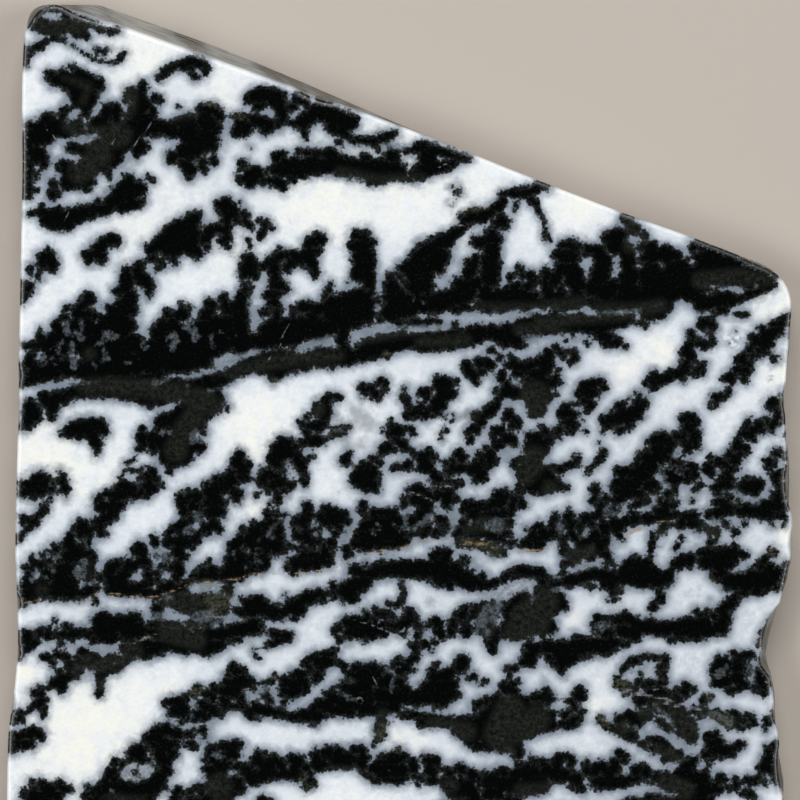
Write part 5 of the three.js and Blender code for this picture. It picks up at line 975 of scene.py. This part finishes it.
# The rusty seam that crosses the slab, and its golden and rusty patches.
SEAM = [
    (2,60.4,.05, 3.8,60,.06, 6.4,60.2,.06, 9.2,60,.06, 9.9,59.1,.05, 12.2,59.5,.06, 14.3,59.8,.06,
     16.3,59.5,.06, 18.9,58.4,.05, 21.7,58.1,.06, 24,57.9,.06, 24.7,57.5,.06, 26.8,57.3,.06, 28.8,57.5,.05,
     31.9,57.1,.06, 33.7,56.7,.05, 35.5,55.6,.05, 38.3,55,.06, 40,54.8,.07, 41.5,54.3,.06, 45.4,53.9,.06),
    (46,54.4,.02, 47.4,54.6,.08, 48.6,54.4,.04, 49.6,54.9,.03), (46.6,54.1,.02, 47.8,54,.04, 49,54.1,.02),
    (51,55.1,.06, 54,55,.06, 55.3,54.3,.06), (61.2,54.5,.1), (62.6,53.6,.08, 63.6,53,.14, 64.6,52.8,.08),
    (65.5,52.2,.04, 68,52,.04), (11.8,64.3,.04, 13,64.5,.04, 14.4,63.9,.04, 15.6,63.4,.04),
]

# Pale hairlines, and grey ones.
HAIRLINES = [
    (4.6,12.8,.03, 5.8,14.2,.03), (12.2,13,.03, 11.2,14.4,.03), (15.2,12.2,.03, 13.2,14.8,.03),
    (6.9,21,.03, 6.4,22.4,.03), (45,16.2,.03, 43.6,16.9,.03), (40.4,17.2,.03, 41.6,18.2,.03),
    (45.2,22.3,.03, 46.6,22.7,.03),
    (28.9,32.3,.04, 28.4,33.2,.03, 28,34.5,.04, 27.2,35.6,.03, 26.5,36.3,.03),
    (30.9,46.9,.05, 33,46.95,.04, 34.6,47.7,.03), (14.3,50.2,.03, 15.8,51.7,.03),
    (40.8,49.1,.03, 43.2,50,.04, 44.6,51.5,.03), (35.4,62,.03, 37.2,62.5,.03, 40,63.7,.03),
    (37.2,67.2,.03, 37.6,68.4,.03), (62,69.2,.04, 66.6,69.9,.03, 67.2,69.6,.03),
    (62.4,68.8,.03, 66.6,70,.04, 70.1,70.9,.03), (21.4,78.2,.03, 21.8,78.8,.03, 21.4,79.4,.03),
    (73.4,79.4,.03, 74.4,78.9,.03), (7.1,60.4,.03, 7.6,61.1,.03, 8.2,61.3,.03),
    (54,55.8,.03, 54.6,56.4,.03, 55,57,.03),
    (37.8,62.2,.03, 38,61.9,.03, 38.4,62.1,.03, 38.2,62.5,.03, 37.8,62.3,.03),
    (39.9,63,.03, 40.1,62.6,.03, 40.5,62.8,.03, 40.3,63.2,.03, 40,63.1,.03),
    (35.7,70.1,.03, 35.9,69.7,.03, 36.3,69.8,.03, 36.2,70.3,.03, 35.8,70.3,.03),
    (29.9,58.2,.03, 30,57.7,.03, 30.4,57.8,.03, 30.3,58.3,.03), (34.7,61.1,.03, 34.9,60.7,.03, 35.2,61,.03),
    (42.4,63.6,.03, 43,64.2,.03, 43.8,64,.03, 43.6,63.6,.03),
    (62.6,69,.03, 64,69.2,.03, 65.4,69,.03, 66.8,68.6,.03),
    (66.2,70.3,.04, 68,70.8,.04, 70,71,.03, 71,70.7,.03),
]

# Creamy or clean white places: across, down, radius, strength.
CREAM = [
    (5, 46, 4, .9), (10, 47, 2.5, .6), (26, 43, 3.5, .9), (66, 35.2, 1.6, .9), (62.4, 37, 1.3, .7),
    (78.2, 37, 2, .7), (78.5, 54, 1.6, 1), (8, 48, 2, .7), (25, 51.3, 1.6, .6), (9, 74, 6.5, 1.0),
    (6, 77, 4, .6), (2.6, 67.4, 1.6, .9), (17, 69, 1.5, .7), (40.5, 74, 2, .6), (59.5, 70.5, 1.2, .7),
    (62, 61, 1.3, .6), (57.5, 62, 1.2, .6), (14, 22, 4, .5), (32, 20, 5, .8), (24, 24, 3, .6),
    (58, 20.6, 2.5, .7), (40, 17, 5, .7), (14, 6, 3, .7), (77.5, 30, 2.5, .8), (22, 9.5, 2, .5),
    (47, 21, 3, .7), (5, 42, 2, .6),
]

# Greyer, lavender places in the white: across, down, radius, strength.
LAVENDER = [
    (34.5, 44.7, 2, .6), (36.5, 44.5, 2, .6), (21, 73.5, 2, .5), (8, 64.7, 3, .6), (60.5, 43.8, 1.6, .5),
    (70.4, 41.2, 1.6, .5), (60, 45, 13, .5), (70, 58, 12, .55), (52, 66, 10, .6), (70, 72, 9, .75),
    (50, 60, 9, .55), (40, 50, 6, .5), (66, 80, 12, .55), (30, 62, 6, .35), (20, 15, 8, .3),
    (46, 32, 8, .4),
]


def nearest_stroke(strokes, across, down, far=4.0):
    """How far each point is from the nearest stroke, in millimetres, and below nought inside it."""
    order = np.argsort(down, kind="stable")
    u, v = across[order], down[order]
    nearest = np.full(len(u), far)
    for stroke in strokes:
        dabs = np.array(stroke, float).reshape(-1, 3)
        if len(dabs) == 1:
            dabs = np.vstack([dabs, dabs])
        for (u0, v0, r0), (u1, v1, r1) in zip(dabs, dabs[1:]):
            reach = max(r0, r1) + far
            first, last = np.searchsorted(v, [min(v0, v1) - reach, max(v0, v1) + reach])
            nearby = (u[first:last] > min(u0, u1) - reach) & (u[first:last] < max(u0, u1) + reach)
            picked = first + np.flatnonzero(nearby)
            du, dv = u1 - u0, v1 - v0
            length = du * du + dv * dv
            if length > 0:
                share = np.clip(((u[picked] - u0) * du + (v[picked] - v0) * dv) / length, 0, 1)
            else:
                share = np.zeros(len(picked))
            gap = np.hypot(u[picked] - u0 - share * du, v[picked] - v0 - share * dv) - r0 - share * (r1 - r0)
            nearest[picked] = np.minimum(nearest[picked], gap)
    result = np.empty(len(u))
    result[order] = nearest
    return result


def nearest_rim(points):
    """How far each point is from the rim of the polished face, in millimetres, up to one."""
    rim = rings[-1]
    order = np.argsort(rim[:, 1])
    ranked = rim[order]
    gap = np.ones(len(points))
    first = np.searchsorted(ranked[:, 1], points[:, 1] - 1)
    last = np.searchsorted(ranked[:, 1], points[:, 1] + 1)
    for k in np.flatnonzero(last > first):
        near = ranked[first[k]:last[k]]
        gap[k] = min(1, np.hypot(near[:, 0] - points[k, 0], near[:, 1] - points[k, 1]).min())
    return gap


def soft_places(places, across, down):
    """The strength of the strongest soft round place at each point."""
    strongest = np.zeros(len(across))
    for u, v, radius, strength in places:
        near = np.hypot(across - u, down - v) / radius
        strongest = np.maximum(strongest, strength * np.exp(-near * near))
    return strongest


# The growth goes on through the slab, drawing in a little towards its middle and wandering with depth.
INWARD_PER_MM = 0.011
depth = THICKNESS - height
wander = 0.12 * depth * np.sin(place[:, 1] * 0.7 + depth * 0.5)
across = 40 + (place[:, 0] - 40) * (1 - INWARD_PER_MM * depth) + wander
down = 47 + (place[:, 1] - 47) * (1 - INWARD_PER_MM * depth) + 0.12 * depth * np.sin(place[:, 0] * 0.5)

growth = nearest_stroke(MOSS, across, down)
growth = np.maximum(growth, -nearest_stroke(CLEAR, across, down))
over_flecks = nearest_stroke(LATE, across, down)
growth = np.minimum(growth, over_flecks)

# Light spreads in the quartz, so it looks greyer beside and among the growth: the growth's cover, blurred.
# The cover fades out over COVER_FADE millimetres at the growth's edge, and is blurred near and wide.
COVER_FADE = 0.6
NEAR_SPREAD = 0.45
WIDE_SPREAD = 1.7
GRID_STEP = 0.25
GRID_ACROSS = np.arange(-2, 82, GRID_STEP)
GRID_DOWN = np.arange(-2, 97, GRID_STEP)


def blurred(cover, spread):
    """The cover averaged over a soft round patch that many millimetres across."""
    reach = int(3 * spread / GRID_STEP)
    weights = np.exp(-0.5 * (np.arange(-reach, reach + 1) * GRID_STEP / spread) ** 2)
    weights /= weights.sum()
    for axis in (0, 1):
        cover = np.apply_along_axis(
            lambda row: np.convolve(np.pad(row, reach, mode="edge"), weights, "valid"), axis, cover
        )
    return cover


def read_grid(values, across, down):
    """Values of the grid at any place, by straight blending between its four nearest points."""
    u = np.clip((across - GRID_ACROSS[0]) / GRID_STEP, 0, len(GRID_ACROSS) - 1.001)
    v = np.clip((down - GRID_DOWN[0]) / GRID_STEP, 0, len(GRID_DOWN) - 1.001)
    i, j = u.astype(int), v.astype(int)
    p, q = u - i, v - j
    top = values[j, i] * (1 - p) + values[j, i + 1] * p
    bottom = values[j + 1, i] * (1 - p) + values[j + 1, i + 1] * p
    return top * (1 - q) + bottom * q


grid_u, grid_v = (part.ravel() for part in np.meshgrid(GRID_ACROSS, GRID_DOWN))
grid_growth = np.maximum(
    nearest_stroke(MOSS, grid_u, grid_v, COVER_FADE), -nearest_stroke(CLEAR, grid_u, grid_v, COVER_FADE)
)
cover = np.clip(0.65 - grid_growth / COVER_FADE, 0, 1).reshape(len(GRID_DOWN), len(GRID_ACROSS))
near_shade = read_grid(blurred(cover, NEAR_SPREAD), across, down)
wide_shade = read_grid(blurred(cover, WIDE_SPREAD), across, down)
fields = {
    "growth": growth,
    "near shade": near_shade,
    "wide shade": wide_shade,
    "fleck": np.maximum(nearest_stroke(FLECK, across, down, far=1.0), -over_flecks),
    "smoke": nearest_stroke(SMOKE, across, down, far=2.0),
    "stain": nearest_stroke(GREEN, across, down, far=1.0),
    "haze": nearest_stroke(HAZE, across, down, far=2.0),
    "seam": nearest_stroke(SEAM, across, down, far=1.0),
    "hairline": nearest_stroke(HAIRLINES, across, down, far=1.0),
    "cream": soft_places(CREAM, across, down),
    "lavender": soft_places(LAVENDER, across, down),
}
on_face = height > THICKNESS - 1e-6
fields["sawn"] = smooth_step(THICKNESS - EDGE_ROUND * 0.6, THICKNESS - EDGE_ROUND * 1.4, height)
fields["rim"] = 1 - smooth_step(0, 0.7, nearest_rim(place)) * (height > THICKNESS - EDGE_ROUND)
broken = smooth_step(74, 76, place[:, 0]) * smooth_step(26, 30, place[:, 1])
fields["wear"] = fields["sawn"] * (0.35 + 0.65 * broken)

# Pits in the polished face: across, down, radius, depth.
PITS = [
    (73.2, 33.8, 0.75, 0.3), (59.1, 67.2, 0.35, 0.12), (34.8, 20.9, 0.5, 0.12), (37.6, 20.8, 0.4, 0.12),
    (42.5, 19.8, 0.5, 0.12),
]
for u, v, radius, deep in PITS:
    near = np.hypot(place[:, 0] - u, place[:, 1] - v) / radius
    height = height - deep * np.clip(1 - near * near, 0, 1) * on_face

slab_mesh = bpy.data.meshes.new("zebra jasper slab")
spots = np.column_stack(on_slab(place[:, 0], place[:, 1], height))
faces = [*np.vstack(walls).tolist(), *face_triangles.tolist(), *back_triangles[:, ::-1].tolist()]
slab_mesh.from_pydata(spots.tolist(), [], faces)
for name, values in fields.items():
    slab_mesh.attributes.new(name, "FLOAT", "POINT").data.foreach_set("value", values.astype(np.float32))
slab_mesh.polygons.foreach_set("use_smooth", np.ones(len(slab_mesh.polygons), bool))
slab = bpy.data.objects.new("zebra_jasper_slab", slab_mesh)
bpy.context.collection.objects.link(slab)

# Zebra jasper's finish. Its patterns read the stone's own place in millimetres and the drawn fields.
stone = bpy.data.materials.new("zebra jasper")
stone.use_nodes = True
stone_tree = stone.node_tree
stone_tree.nodes.clear()


def put_node(tree, kind, inputs, settings):
    """A new node in a tree, with its settings made and its inputs linked or set."""
    node = tree.nodes.new(kind)
    for name, value in settings.items():
        setattr(node, name, value)
    for key, value in (inputs or {}).items():
        if isinstance(value, bpy.types.NodeSocket):
            tree.links.new(value, node.inputs[key])
        else:
            node.inputs[key].default_value = value
    return node


def add_node(kind, inputs=None, **settings):
    """A new node in the stone's finish."""
    return put_node(stone_tree, kind, inputs, settings)


def math_of(operation, first, second=0.0):
    return add_node("ShaderNodeMath", {0: first, 1: second}, operation=operation).outputs[0]


def field(name):
    """One of the drawn fields of the slab's mesh."""
    return add_node("ShaderNodeAttribute", attribute_name=name).outputs["Fac"]


def ramp(value, start, end):
    """Nought where the value is at start, one where it is at end, and smooth between."""
    ends = {1: start, 2: end, 3: 0.0, 4: 1.0} if start < end else {1: end, 2: start, 3: 1.0, 4: 0.0}
    return add_node("ShaderNodeMapRange", {0: value, **ends}, interpolation_type="SMOOTHSTEP").outputs[0]


def tint(mask, under, over):
    """The colour under, covered by the colour over where mask is one."""
    return add_node("ShaderNodeMix", {0: mask, 6: under, 7: over}, data_type="RGBA").outputs[2]


def colour(red, green, blue):
    """A linear colour from its 0 to 255 screen values."""
    shares = [c / 255 for c in (red, green, blue)]
    return [*(((c + 0.055) / 1.055) ** 2.4 if c > 0.04 else c / 12.92 for c in shares), 1.0]


stone_place = add_node(
    "ShaderNodeMapping", {0: add_node("ShaderNodeTexCoord").outputs["Object"], 3: (1 / MM, 1 / MM, 1 / MM)}
).outputs[0]


def cells(size):
    """How far from the middle of the nearest cell of a scattered pattern, about 0.7 at most."""
    return add_node("ShaderNodeTexVoronoi", {"Vector": stone_place, "Scale": 1 / size}).outputs["Distance"]


def grain(size, detail=2.0, roughness=0.5):
    """Cloudy noise from nought to one."""
    return add_node(
        "ShaderNodeTexNoise",
        {"Vector": stone_place, "Scale": 1 / size, "Detail": detail, "Roughness": roughness},
    ).outputs[0]


def swing(value, amount, centre=0.5):
    """A pattern turned into plus or minus half an amount, in millimetres."""
    return math_of("MULTIPLY", math_of("SUBTRACT", value, centre), amount)


# Round lobes on three scales make the growth's knobbly, ragged edge.
knobs = swing(cells(1.1), 0.4)
small_knobs = swing(cells(0.55), 0.34)
crumbs = swing(cells(0.27), 0.26)
fuzz = swing(grain(0.3, 5.0, 0.8), 0.85)
ragged = math_of("ADD", math_of("ADD", knobs, small_knobs), math_of("ADD", crumbs, fuzz))
GROWTH_SPREAD = 0.19
edge = math_of("ADD", math_of("SUBTRACT", field("growth"), GROWTH_SPREAD), ragged)
black = ramp(edge, 0.13, -0.1)

# White quartz: bluish beside the growth, clean or creamy away from it, with a fine sugary mottle.
QUARTZ_CLEAN = colour(247, 250, 252)
QUARTZ_WHITE = colour(226, 233, 240)
QUARTZ_BLUE = colour(152, 164, 177)
QUARTZ_LAVENDER = colour(168, 175, 189)
QUARTZ_CREAM = colour(255, 255, 246)
cloud = swing(grain(1.0, 6.0, 0.62), 0.75)
near_shade = math_of("MULTIPLY", field("near shade"), 0.7)
shade = math_of("ADD", near_shade, math_of("MULTIPLY", field("wide shade"), 0.8))
shade = math_of("ADD", shade, cloud)
quartz = tint(ramp(shade, 0.02, 0.32), QUARTZ_CLEAN, QUARTZ_WHITE)
quartz = tint(ramp(shade, 0.28, 0.86), quartz, QUARTZ_BLUE)
# Growth that lies a little under the surface shows through as a soft grey veil.
VEIL_GREY = colour(122, 132, 145)
HAZE_GREY = colour(112, 124, 134)
veil_edge = math_of("SUBTRACT", field("growth"), GROWTH_SPREAD)
veil_edge = math_of("ADD", veil_edge, swing(grain(0.8, 5.0, 0.65), 1.5))
veil = math_of("MULTIPLY", ramp(veil_edge, 0.95, -0.25), 0.82)
lavender = math_of("MULTIPLY", field("lavender"), ramp(grain(0.8, 4.0, 0.6), 0.3, 0.7))
quartz = tint(lavender, quartz, QUARTZ_LAVENDER)
creamy = math_of("MULTIPLY", field("cream"), ramp(grain(1.6, 3.0, 0.5), 0.3, 0.6))
quartz = tint(creamy, quartz, QUARTZ_CREAM)
sugar = ramp(grain(0.35, 4.0, 0.7), 0.4, 0.75)
quartz = tint(math_of("MULTIPLY", sugar, 0.12), quartz, QUARTZ_BLUE)
quartz = tint(veil, quartz, VEIL_GREY)
haze_edge = math_of("ADD", field("haze"), swing(grain(0.6, 5.0, 0.65), 1.3))
quartz = tint(math_of("MULTIPLY", ramp(haze_edge, 0.6, -0.7), 0.62), quartz, HAZE_GREY)

# Growth: near black, smoky brown-grey in places, with blue-grey flecks and crumbs.
GROWTH_BLACK = colour(2, 3, 3)
GROWTH_RIM = colour(54, 59, 57)
GROWTH_SMOKE = colour(51, 54, 48)
FLECK_BLUE = colour(104, 113, 120)
smoke_edge = math_of("ADD", field("smoke"), swing(grain(0.5, 4.0, 0.65), 1.2))
smoky = math_of("MULTIPLY", ramp(smoke_edge, 0.5, -0.5), ramp(grain(0.5, 7.0, 0.85), 0.34, 0.76))
rim_edge = math_of("ADD", edge, swing(grain(0.22, 5.0, 0.8), 1.7))
growth_colour = tint(math_of("MULTIPLY", ramp(rim_edge, -0.5, 0.3), 0.9), GROWTH_BLACK, GROWTH_RIM)
growth_colour = tint(smoky, growth_colour, GROWTH_SMOKE)
GROWTH_CRUMB = colour(88, 95, 92)
crumb_light = math_of("MULTIPLY", ramp(grain(0.24, 6.0, 0.88), 0.55, 0.74), 0.46)
growth_colour = tint(crumb_light, growth_colour, GROWTH_CRUMB)
stone_colour = tint(black, quartz, growth_colour)
fleck_fuzz = math_of("ADD", cells(0.4), grain(0.2, 3.0, 0.7))
fleck_edge = math_of("ADD", field("fleck"), swing(fleck_fuzz, 0.4, 1.0))
fleck = math_of("MULTIPLY", ramp(fleck_edge, 0.14, -0.24), ramp(grain(0.34, 6.0, 0.85), 0.36, 0.62))
stone_colour = tint(math_of("MULTIPLY", fleck, 0.8), stone_colour, FLECK_BLUE)

# Stains, the rusty seam and pale hairlines.
STAIN_GREEN = colour(98, 99, 80)
SEAM_RUST = colour(166, 138, 104)
HAIRLINE_PALE = colour(196, 200, 208)
stain = math_of("MULTIPLY", ramp(field("stain"), 0.2, -0.3), ramp(grain(0.3, 3.0, 0.6), 0.35, 0.7))
stone_colour = tint(math_of("MULTIPLY", stain, 0.5), stone_colour, STAIN_GREEN)
seam_edge = math_of("ADD", field("seam"), swing(grain(0.5, 4.0, 0.7), 0.5))
seam = math_of("MULTIPLY", ramp(seam_edge, 0.09, -0.05), ramp(grain(0.9, 3.0, 0.6), 0.3, 0.6))
stone_colour = tint(math_of("MULTIPLY", seam, 0.75), stone_colour, SEAM_RUST)
hairline_edge = math_of("ADD", field("hairline"), swing(grain(0.4, 3.0, 0.6), 0.24))
stone_colour = tint(math_of("MULTIPLY", ramp(hairline_edge, 0.09, -0.03), 0.32), stone_colour, HAIRLINE_PALE)

# The rim of the face is crumbled, and pale specks painted along it stand for glints of light on its grains:
# a painted highlight.
RIM_GLINT_PALE = colour(214, 218, 220)
painted_rim_glints = math_of("MULTIPLY", ramp(field("rim"), 0.25, 0.9), ramp(grain(0.4, 6.0, 0.9), 0.55, 0.64))
stone_colour = tint(math_of("MULTIPLY", painted_rim_glints, 0.6), stone_colour, RIM_GLINT_PALE)

# Sawn and broken surfaces are dusty, so darker and lighter parts there come closer together.
SAWN_DUST = colour(158, 156, 146)
SAWN_SHADE = colour(62, 58, 52)
sawn = field("sawn")
saw_marks = add_node("ShaderNodeMapping", {0: stone_place, 3: (0.3, 0.3, 2.6)}).outputs[0]
streaks = add_node(
    "ShaderNodeTexNoise", {"Vector": saw_marks, "Scale": 1.0, "Detail": 5.0, "Roughness": 0.7}
).outputs[0]
dust = tint(ramp(streaks, 0.42, 0.62), SAWN_DUST, SAWN_SHADE)
stone_colour = tint(math_of("MULTIPLY", sawn, 0.72), stone_colour, dust)
POLISHED_ROUGHNESS = 0.1
SAWN_ROUGHNESS = 0.6
dull = math_of("MAXIMUM", sawn, math_of("MULTIPLY", ramp(field("rim"), 0.5, 0.95), 0.4))
roughness = math_of("MULTIPLY", dull, SAWN_ROUGHNESS - POLISHED_ROUGHNESS)
roughness = math_of("ADD", roughness, POLISHED_ROUGHNESS)
tooth = add_node(
    "ShaderNodeBump",
    {"Strength": math_of("MULTIPLY", sawn, 0.5), "Distance": 0.0001, "Height": grain(0.25, 4.0, 0.7)},
).outputs[0]
finish = add_node(
    "ShaderNodeBsdfPrincipled",
    {"Base Color": stone_colour, "Roughness": roughness, "IOR": 1.54, "Normal": tooth},
)
add_node("ShaderNodeOutputMaterial", {"Surface": finish.outputs[0]})
slab_mesh.materials.append(stone)

# Small scallops that saw and break left in the walls, on a Geometry Nodes tree.
SCALLOP_DEPTH = 0.12
SCALLOP_SIZE = 0.7
SCALLOP_SEED = 4.0
scallops = bpy.data.node_groups.new("wall scallops", "GeometryNodeTree")
scallops.interface.new_socket("Geometry", in_out="INPUT", socket_type="NodeSocketGeometry")
for socket_name in ("Depth", "Size", "Seed"):
    scallops.interface.new_socket(socket_name, in_out="INPUT", socket_type="NodeSocketFloat")
scallops.interface.new_socket("Geometry", in_out="OUTPUT", socket_type="NodeSocketGeometry")


def add_step(kind, inputs=None, **settings):
    """A new node in the scallops' tree."""
    return put_node(scallops, kind, inputs, settings)


given = add_step("NodeGroupInput").outputs
own_place = add_step("GeometryNodeInputPosition").outputs[0]
mm_place = add_step("ShaderNodeVectorMath", {0: own_place, 1: (1 / MM,) * 3}, operation="MULTIPLY")
cell_scale = add_step("ShaderNodeMath", {0: 1.0, 1: given["Size"]}, operation="DIVIDE").outputs[0]
noise = add_step(
    "ShaderNodeTexNoise",
    {"Vector": mm_place.outputs[0], "W": given["Seed"], "Scale": cell_scale, "Detail": 3.0},
    noise_dimensions="4D",
).outputs[0]
wear = add_step("GeometryNodeInputNamedAttribute", {"Name": "wear"}, data_type="FLOAT").outputs["Attribute"]
dent = add_step("ShaderNodeMath", {0: noise, 1: wear}, operation="MULTIPLY").outputs[0]
dent = add_step("ShaderNodeMath", {0: dent, 1: given["Depth"]}, operation="MULTIPLY").outputs[0]
dent = add_step("ShaderNodeMath", {0: dent, 1: -MM}, operation="MULTIPLY").outputs[0]
facing = add_step("GeometryNodeInputNormal").outputs[0]
push = add_step("ShaderNodeVectorMath", {0: facing, "Scale": dent}, operation="SCALE").outputs[0]
moved = add_step("GeometryNodeSetPosition", {"Geometry": given["Geometry"], "Offset": push}).outputs[0]
real = add_step("GeometryNodeRealizeInstances", {0: moved}).outputs[0]
dressed = add_step("GeometryNodeSetMaterial", {"Geometry": real, "Material": stone}).outputs[0]
add_step("NodeGroupOutput", {0: dressed})

sockets = {item.name: item.identifier for item in scallops.interface.items_tree if item.in_out == "INPUT"}
worn = slab.modifiers.new("wall scallops", "NODES")
worn.node_group = scallops
for socket_name, value in (("Depth", SCALLOP_DEPTH), ("Size", SCALLOP_SIZE), ("Seed", SCALLOP_SEED)):
    worn[sockets[socket_name]] = value
finished_mesh = bpy.data.meshes.new_from_object(slab.evaluated_get(bpy.context.evaluated_depsgraph_get()))
slab.modifiers.clear()
slab.data = finished_mesh
corners = np.empty(len(finished_mesh.vertices) * 3)
finished_mesh.vertices.foreach_get("co", corners)
corners = np.clip(corners.reshape(-1, 3), slab_low, slab_high)
finished_mesh.vertices.foreach_set("co", corners.ravel())
finished_mesh.update()

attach(slab, "root")
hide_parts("slab")

# Floor: plain warm grey paper under the slab.
FLOOR_SIZE = 4.0
bpy.ops.mesh.primitive_plane_add(size=FLOOR_SIZE, location=(0, 0, 0))
floor = bpy.context.object
floor.name = "floor"
floor_paper = bpy.data.materials.new("warm grey paper")
floor_paper.use_nodes = True
floor_paper.node_tree.nodes["Principled BSDF"].inputs["Base Color"].default_value = colour(193, 184, 174)
floor_paper.node_tree.nodes["Principled BSDF"].inputs["Roughness"].default_value = 0.9
floor.data.materials.append(floor_paper)

# Light: soft panels well off the upright, so the polish doesn't mirror them to the camera, and a dim room.
PANEL_DISTANCE = 1.2
PANEL_SIZE = 0.6
# Each panel: name, turn and rise in degrees, and watts.
PANELS = [
    ("panel above the top edge", 90, 54, 6.5), ("panel below the foot", 270, 54, 1.0),
    ("panel on the left", 180, 50, 6.6), ("panel on the right", 0, 50, 5.0),
]
for name, turn, rise, watts in PANELS:
    panel_data = bpy.data.lights.new(name, "AREA")
    panel_data.size = PANEL_SIZE
    panel_data.energy = watts
    panel = bpy.data.objects.new(name, panel_data)
    turn, rise = math.radians(turn), math.radians(rise)
    towards = Vector((math.cos(turn) * math.cos(rise), math.sin(turn) * math.cos(rise), math.sin(rise)))
    panel.location = towards * PANEL_DISTANCE
    panel.rotation_euler = towards.to_track_quat("Z", "Y").to_euler()
    bpy.context.collection.objects.link(panel)
room = bpy.data.worlds.new("dim room")
room.use_nodes = True
room.node_tree.nodes["Background"].inputs["Color"].default_value = colour(36, 36, 36)
bpy.context.scene.world = room
bpy.context.scene.view_settings.view_transform = "Standard"
